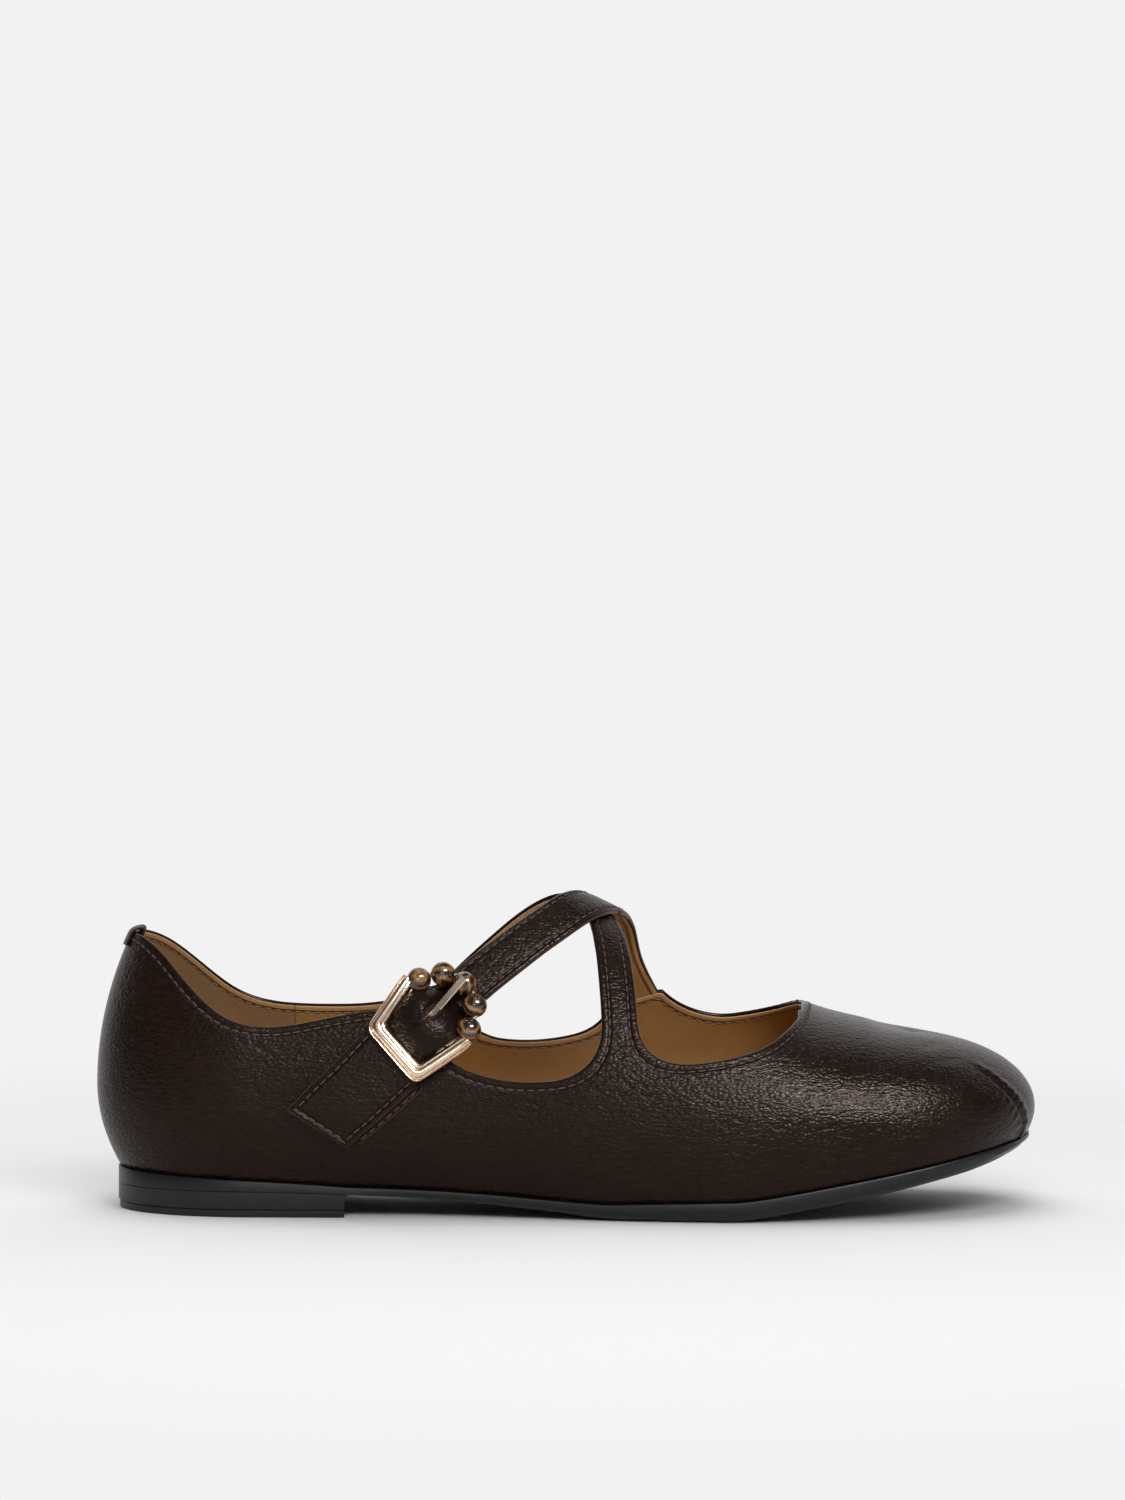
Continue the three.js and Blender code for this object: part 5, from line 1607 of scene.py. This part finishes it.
# Stitching
def stitch_tree():
    """A node tree that lays a stitch on every point, along its run and flat on its up."""
    tree = bpy.data.node_groups.new("stitches", "GeometryNodeTree")
    sockets = {}
    for label, kind in (
        ("Points", "NodeSocketGeometry"),
        ("Stitch length", "NodeSocketFloat"),
        ("Thread width", "NodeSocketFloat"),
        ("Thread", "NodeSocketMaterial"),
    ):
        sockets[label] = tree.interface.new_socket(label, in_out="INPUT", socket_type=kind)
    tree.interface.new_socket("Stitches", in_out="OUTPUT", socket_type="NodeSocketGeometry")

    def node(kind, settings=None, **links):
        made = tree.nodes.new(kind)
        for name, value in (settings or {}).items():
            setattr(made, name, value)
        for name, value in links.items():
            socket = made.inputs[name.replace("_", " ")]
            if isinstance(value, bpy.types.NodeSocket):
                tree.links.new(value, socket)
            else:
                socket.default_value = value
        return made

    entry = tree.nodes.new("NodeGroupInput").outputs
    size = node("ShaderNodeCombineXYZ", X=entry["Stitch length"], Y=entry["Thread width"])
    tree.links.new(entry["Thread width"], size.inputs["Z"])
    ball = node("GeometryNodeMeshUVSphere", Segments=8, Rings=6, Radius=0.5)
    turned = node("GeometryNodeTransform", Geometry=ball.outputs[0], Rotation=(0, math.pi / 2, 0))
    stitch = node("GeometryNodeTransform", Geometry=turned.outputs[0], Scale=size.outputs[0])
    run = node("GeometryNodeInputNamedAttribute", {"data_type": "FLOAT_VECTOR"}, Name="run")
    up = node("GeometryNodeInputNamedAttribute", {"data_type": "FLOAT_VECTOR"}, Name="up")
    turn = node("FunctionNodeAxesToRotation", {"primary_axis": "X", "secondary_axis": "Z"})
    tree.links.new(run.outputs[0], turn.inputs[0])
    tree.links.new(up.outputs[0], turn.inputs[1])
    laid = node(
        "GeometryNodeInstanceOnPoints",
        Points=entry["Points"],
        Instance=stitch.outputs[0],
        Rotation=turn.outputs[0],
    )
    real = node("GeometryNodeRealizeInstances", Geometry=laid.outputs[0])
    soft = node("GeometryNodeSetShadeSmooth", Geometry=real.outputs[0])
    dyed = node("GeometryNodeSetMaterial", Geometry=soft.outputs[0], Material=entry["Thread"])
    tree.links.new(dyed.outputs[0], tree.nodes.new("NodeGroupOutput").inputs[0])
    return tree, {label: socket.identifier for label, socket in sockets.items()}


stitches_tree, stitch_inputs = stitch_tree()


STITCH_TANGENT = 0.6


def sewn(name, rows, thread):
    """Stitches along rows of (points, ups) in millimetres, as one mesh."""
    places, runs, ups = [], [], []
    for points, up, closed in rows:
        if closed:
            points, up = np.vstack([points, points[:1]]), np.vstack([up, up[:1]])
        distance = np.concatenate([[0], np.cumsum(np.linalg.norm(np.diff(points, axis=0), axis=1))])
        count = max(int(round(distance[-1] / STITCH_PITCH)), 2)
        marks = (np.arange(count) + 0.5) * distance[-1] / count
        at = [np.interp(marks, distance, points[:, k]) for k in range(3)]
        before = [np.interp(marks - STITCH_TANGENT, distance, points[:, k]) for k in range(3)]
        after = [np.interp(marks + STITCH_TANGENT, distance, points[:, k]) for k in range(3)]
        lift = [np.interp(marks, distance, up[:, k]) for k in range(3)]
        places.append(np.stack(at, axis=1))
        runs.append(unit(np.stack(after, axis=1) - np.stack(before, axis=1)))
        ups.append(unit(np.stack(lift, axis=1)))
    obj = mesh_object(name, np.vstack(places), [], [])
    for label, values in (("run", runs), ("up", ups)):
        attribute = obj.data.attributes.new(label, "FLOAT_VECTOR", "POINT")
        attribute.data.foreach_set("vector", np.vstack(values).ravel().astype(np.float32))
    modifier = obj.modifiers.new("stitches", "NODES")
    modifier.node_group = stitches_tree
    modifier[stitch_inputs["Stitch length"]] = STITCH_LENGTH / 1000
    modifier[stitch_inputs["Thread width"]] = THREAD / 1000
    modifier[stitch_inputs["Thread"]] = thread
    return finished(obj)


def edge_rows(inside, height, up_sign):
    """Rows at a distance inside the leather's upper edge."""
    stations, turns, _, loops = cut_sheet(inside)
    rows = []
    for loop in loops:
        s, t = stations[loop], turns[loop]
        if along_sole(t):
            continue
        points = skin_point(s, t, np.full(len(s), height))
        rows.append((points, last_normal(s, t) * up_sign, True))
    return rows


def strap_row(place, lift):
    """A row over the buckle strap's line from (along, across) pairs, a height above it."""
    along, across = np.array(place, float).T
    points = on_strap(along, across, lift(along))
    return points, on_strap(along, across, lift(along) + 1) - points, False


def strap_rows():
    def on_top(along):
        return strap_height(along) + STRAP_THICKNESS / 2 + 0.06

    rows = []
    for start, end in ((-TAIL_LENGTH + 2.2, -0.2), (19, RIDGE + 22)):
        alongs = np.arange(start, end, 0.8)
        for side in (-1, 1):
            across = side * (strap_half_width(alongs) - STRAP_SEAM_INSIDE)
            run = alongs - tail_slant(alongs) * across
            rows.append(strap_row(list(zip(run, across)), on_top))
    across = np.linspace(-1, 1, 18) * (TAIL_WIDTH / 2 - STRAP_SEAM_INSIDE - 0.9)
    rows.append(
        strap_row(list(zip(-TAIL_LENGTH + 1.7 - TAIL_SLANT * across, across)), on_top)
    )
    alongs = np.arange(CHAPE_END - TAIL_LENGTH + 1, -0.5, 0.8)
    across = -(strap_half_width(alongs) + CHAPE_STEP - CHAPE_SEAM_INSIDE)
    run = alongs - tail_slant(alongs) * across
    rows.append(
        strap_row(list(zip(run, across)), lambda along: 0 * along + GAP + CHAPE_THICKNESS + 0.05)
    )
    return rows


skin_seam = sewn("topline_stitches", edge_rows(SEAM_INSIDE, -0.05, 1), brown_thread)
lining_seam = sewn("lining_stitches", edge_rows(SEAM_INSIDE, -WALL, -1), tan_thread)
strap_seam = sewn("strap_stitches", strap_rows(), brown_thread)


# Bodies and what each piece stands for
for piece, slot_name, nodes in (
    (upper, "upper_leather", ["upper"]),
    (lining, "lining_leather", ["upper"]),
    (tab, "upper_leather", ["heel_tab"]),
    (strap, "upper_leather", ["buckle_strap"]),
    (holder, "upper_leather", ["buckle_chape"]),
    (frame_metal, "gold_metal", ["buckle_frame"]),
    (prong_metal, "gold_metal", ["prong"]),
    (sole, "sole_rubber", ["outsole"]),
    (heel, "sole_rubber", ["heel"]),
    (lift, "sole_rubber", ["top_lift"]),
    (footbed, "lining_leather", ["insole"]),
    (skin_seam, "upper_leather", []),
    (lining_seam, "lining_leather", []),
    (strap_seam, "upper_leather", []),
):
    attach(piece, "root")
    if nodes:
        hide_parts(*nodes)
for number, piece in enumerate(beads, 1):
    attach(piece, "root")
    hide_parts(f"bead_{number}")


# Floor and light
PAPER = 0.888


def pale_floor():
    """Lit paper round the shoe that turns into an evenly bright backdrop."""
    profile = [(-6.0, 0.0), (2.0, 0.0)]
    for angle in np.linspace(0, math.pi / 2, 24)[1:]:
        profile.append((2.0 + 1.6 * math.sin(angle), 1.6 - 1.6 * math.cos(angle)))
    profile.append((3.6, 5.0))
    points = [(x, y, z) for y, z in profile for x in (-6.0, 6.0)]
    faces = [(2 * i, 2 * i + 1, 2 * i + 3, 2 * i + 2) for i in range(len(profile) - 1)]
    mesh = bpy.data.meshes.new("floor")
    mesh.from_pydata(points, [], faces)
    mesh.polygons.foreach_set("use_smooth", np.ones(len(faces), bool))
    shader = Shader("pale_paper", Roughness=0.9, Specular_IOR_Level=0, Emission_Strength=1)
    away = shader.node(
        "ShaderNodeVectorMath", {"operation": "LENGTH"}, {0: shader.place()}, "Value"
    )
    glow = away.between(0.19, 0.42)
    lit = shader.colours((0.9, 0.9, 0.9), (0, 0, 0), glow)
    bright = shader.colours((0, 0, 0), (PAPER, PAPER, PAPER), glow)
    mesh.materials.append(shader.finish(Base_Color=lit, Emission_Color=bright))
    obj = add_object("floor", mesh)


def soft_light(name, place, size, radiance, mirrored=True, spread=True):
    """A rectangular softbox of a given brightness that faces the shoe. It may light
    without being mirrored, or be mirrored in glossy surfaces alone."""
    data = bpy.data.lights.new(name, "AREA")
    data.shape = "RECTANGLE"
    data.size, data.size_y = size
    data.energy = radiance * math.pi * size[0] * size[1]
    obj = bpy.data.objects.new(name, data)
    obj.location = place
    obj.rotation_euler = (-Vector(place)).to_track_quat("-Z", "Y").to_euler()
    obj.visible_glossy = mirrored
    obj.visible_diffuse = spread
    bpy.context.scene.collection.objects.link(obj)


pale_floor()
soft_light("overhead", (-0.15, 0.1, 1.8), (1.6, 1.3), 2.3, mirrored=False)
soft_light("front_fill", (0.3, -1.4, 1.1), (1.2, 0.8), 5.2, mirrored=False)
soft_light("key_box", (0.75, -1.4, 1.3), (0.85, 0.3), 88, spread=False)
soft_light("front_strip", (-0.25, -1.9, 0.45), (0.9, 0.2), 7, spread=False)
soft_light("front_box", (-0.35, -1.75, 1.15), (1.1, 0.5), 0.5)
soft_light("top_box", (0.05, -0.4, 1.4), (0.5, 0.3), 2.2)
soft_light("back_strip", (-0.5, 0.5, 1.3), (0.9, 0.3), 1)
world = bpy.data.worlds.new("world")
world.use_nodes = True
world.node_tree.nodes["Background"].inputs["Color"].default_value = (1, 1, 1, 1)
world.node_tree.nodes["Background"].inputs["Strength"].default_value = 0.1
bpy.context.scene.world = world
bpy.context.scene.view_settings.view_transform = "Standard"
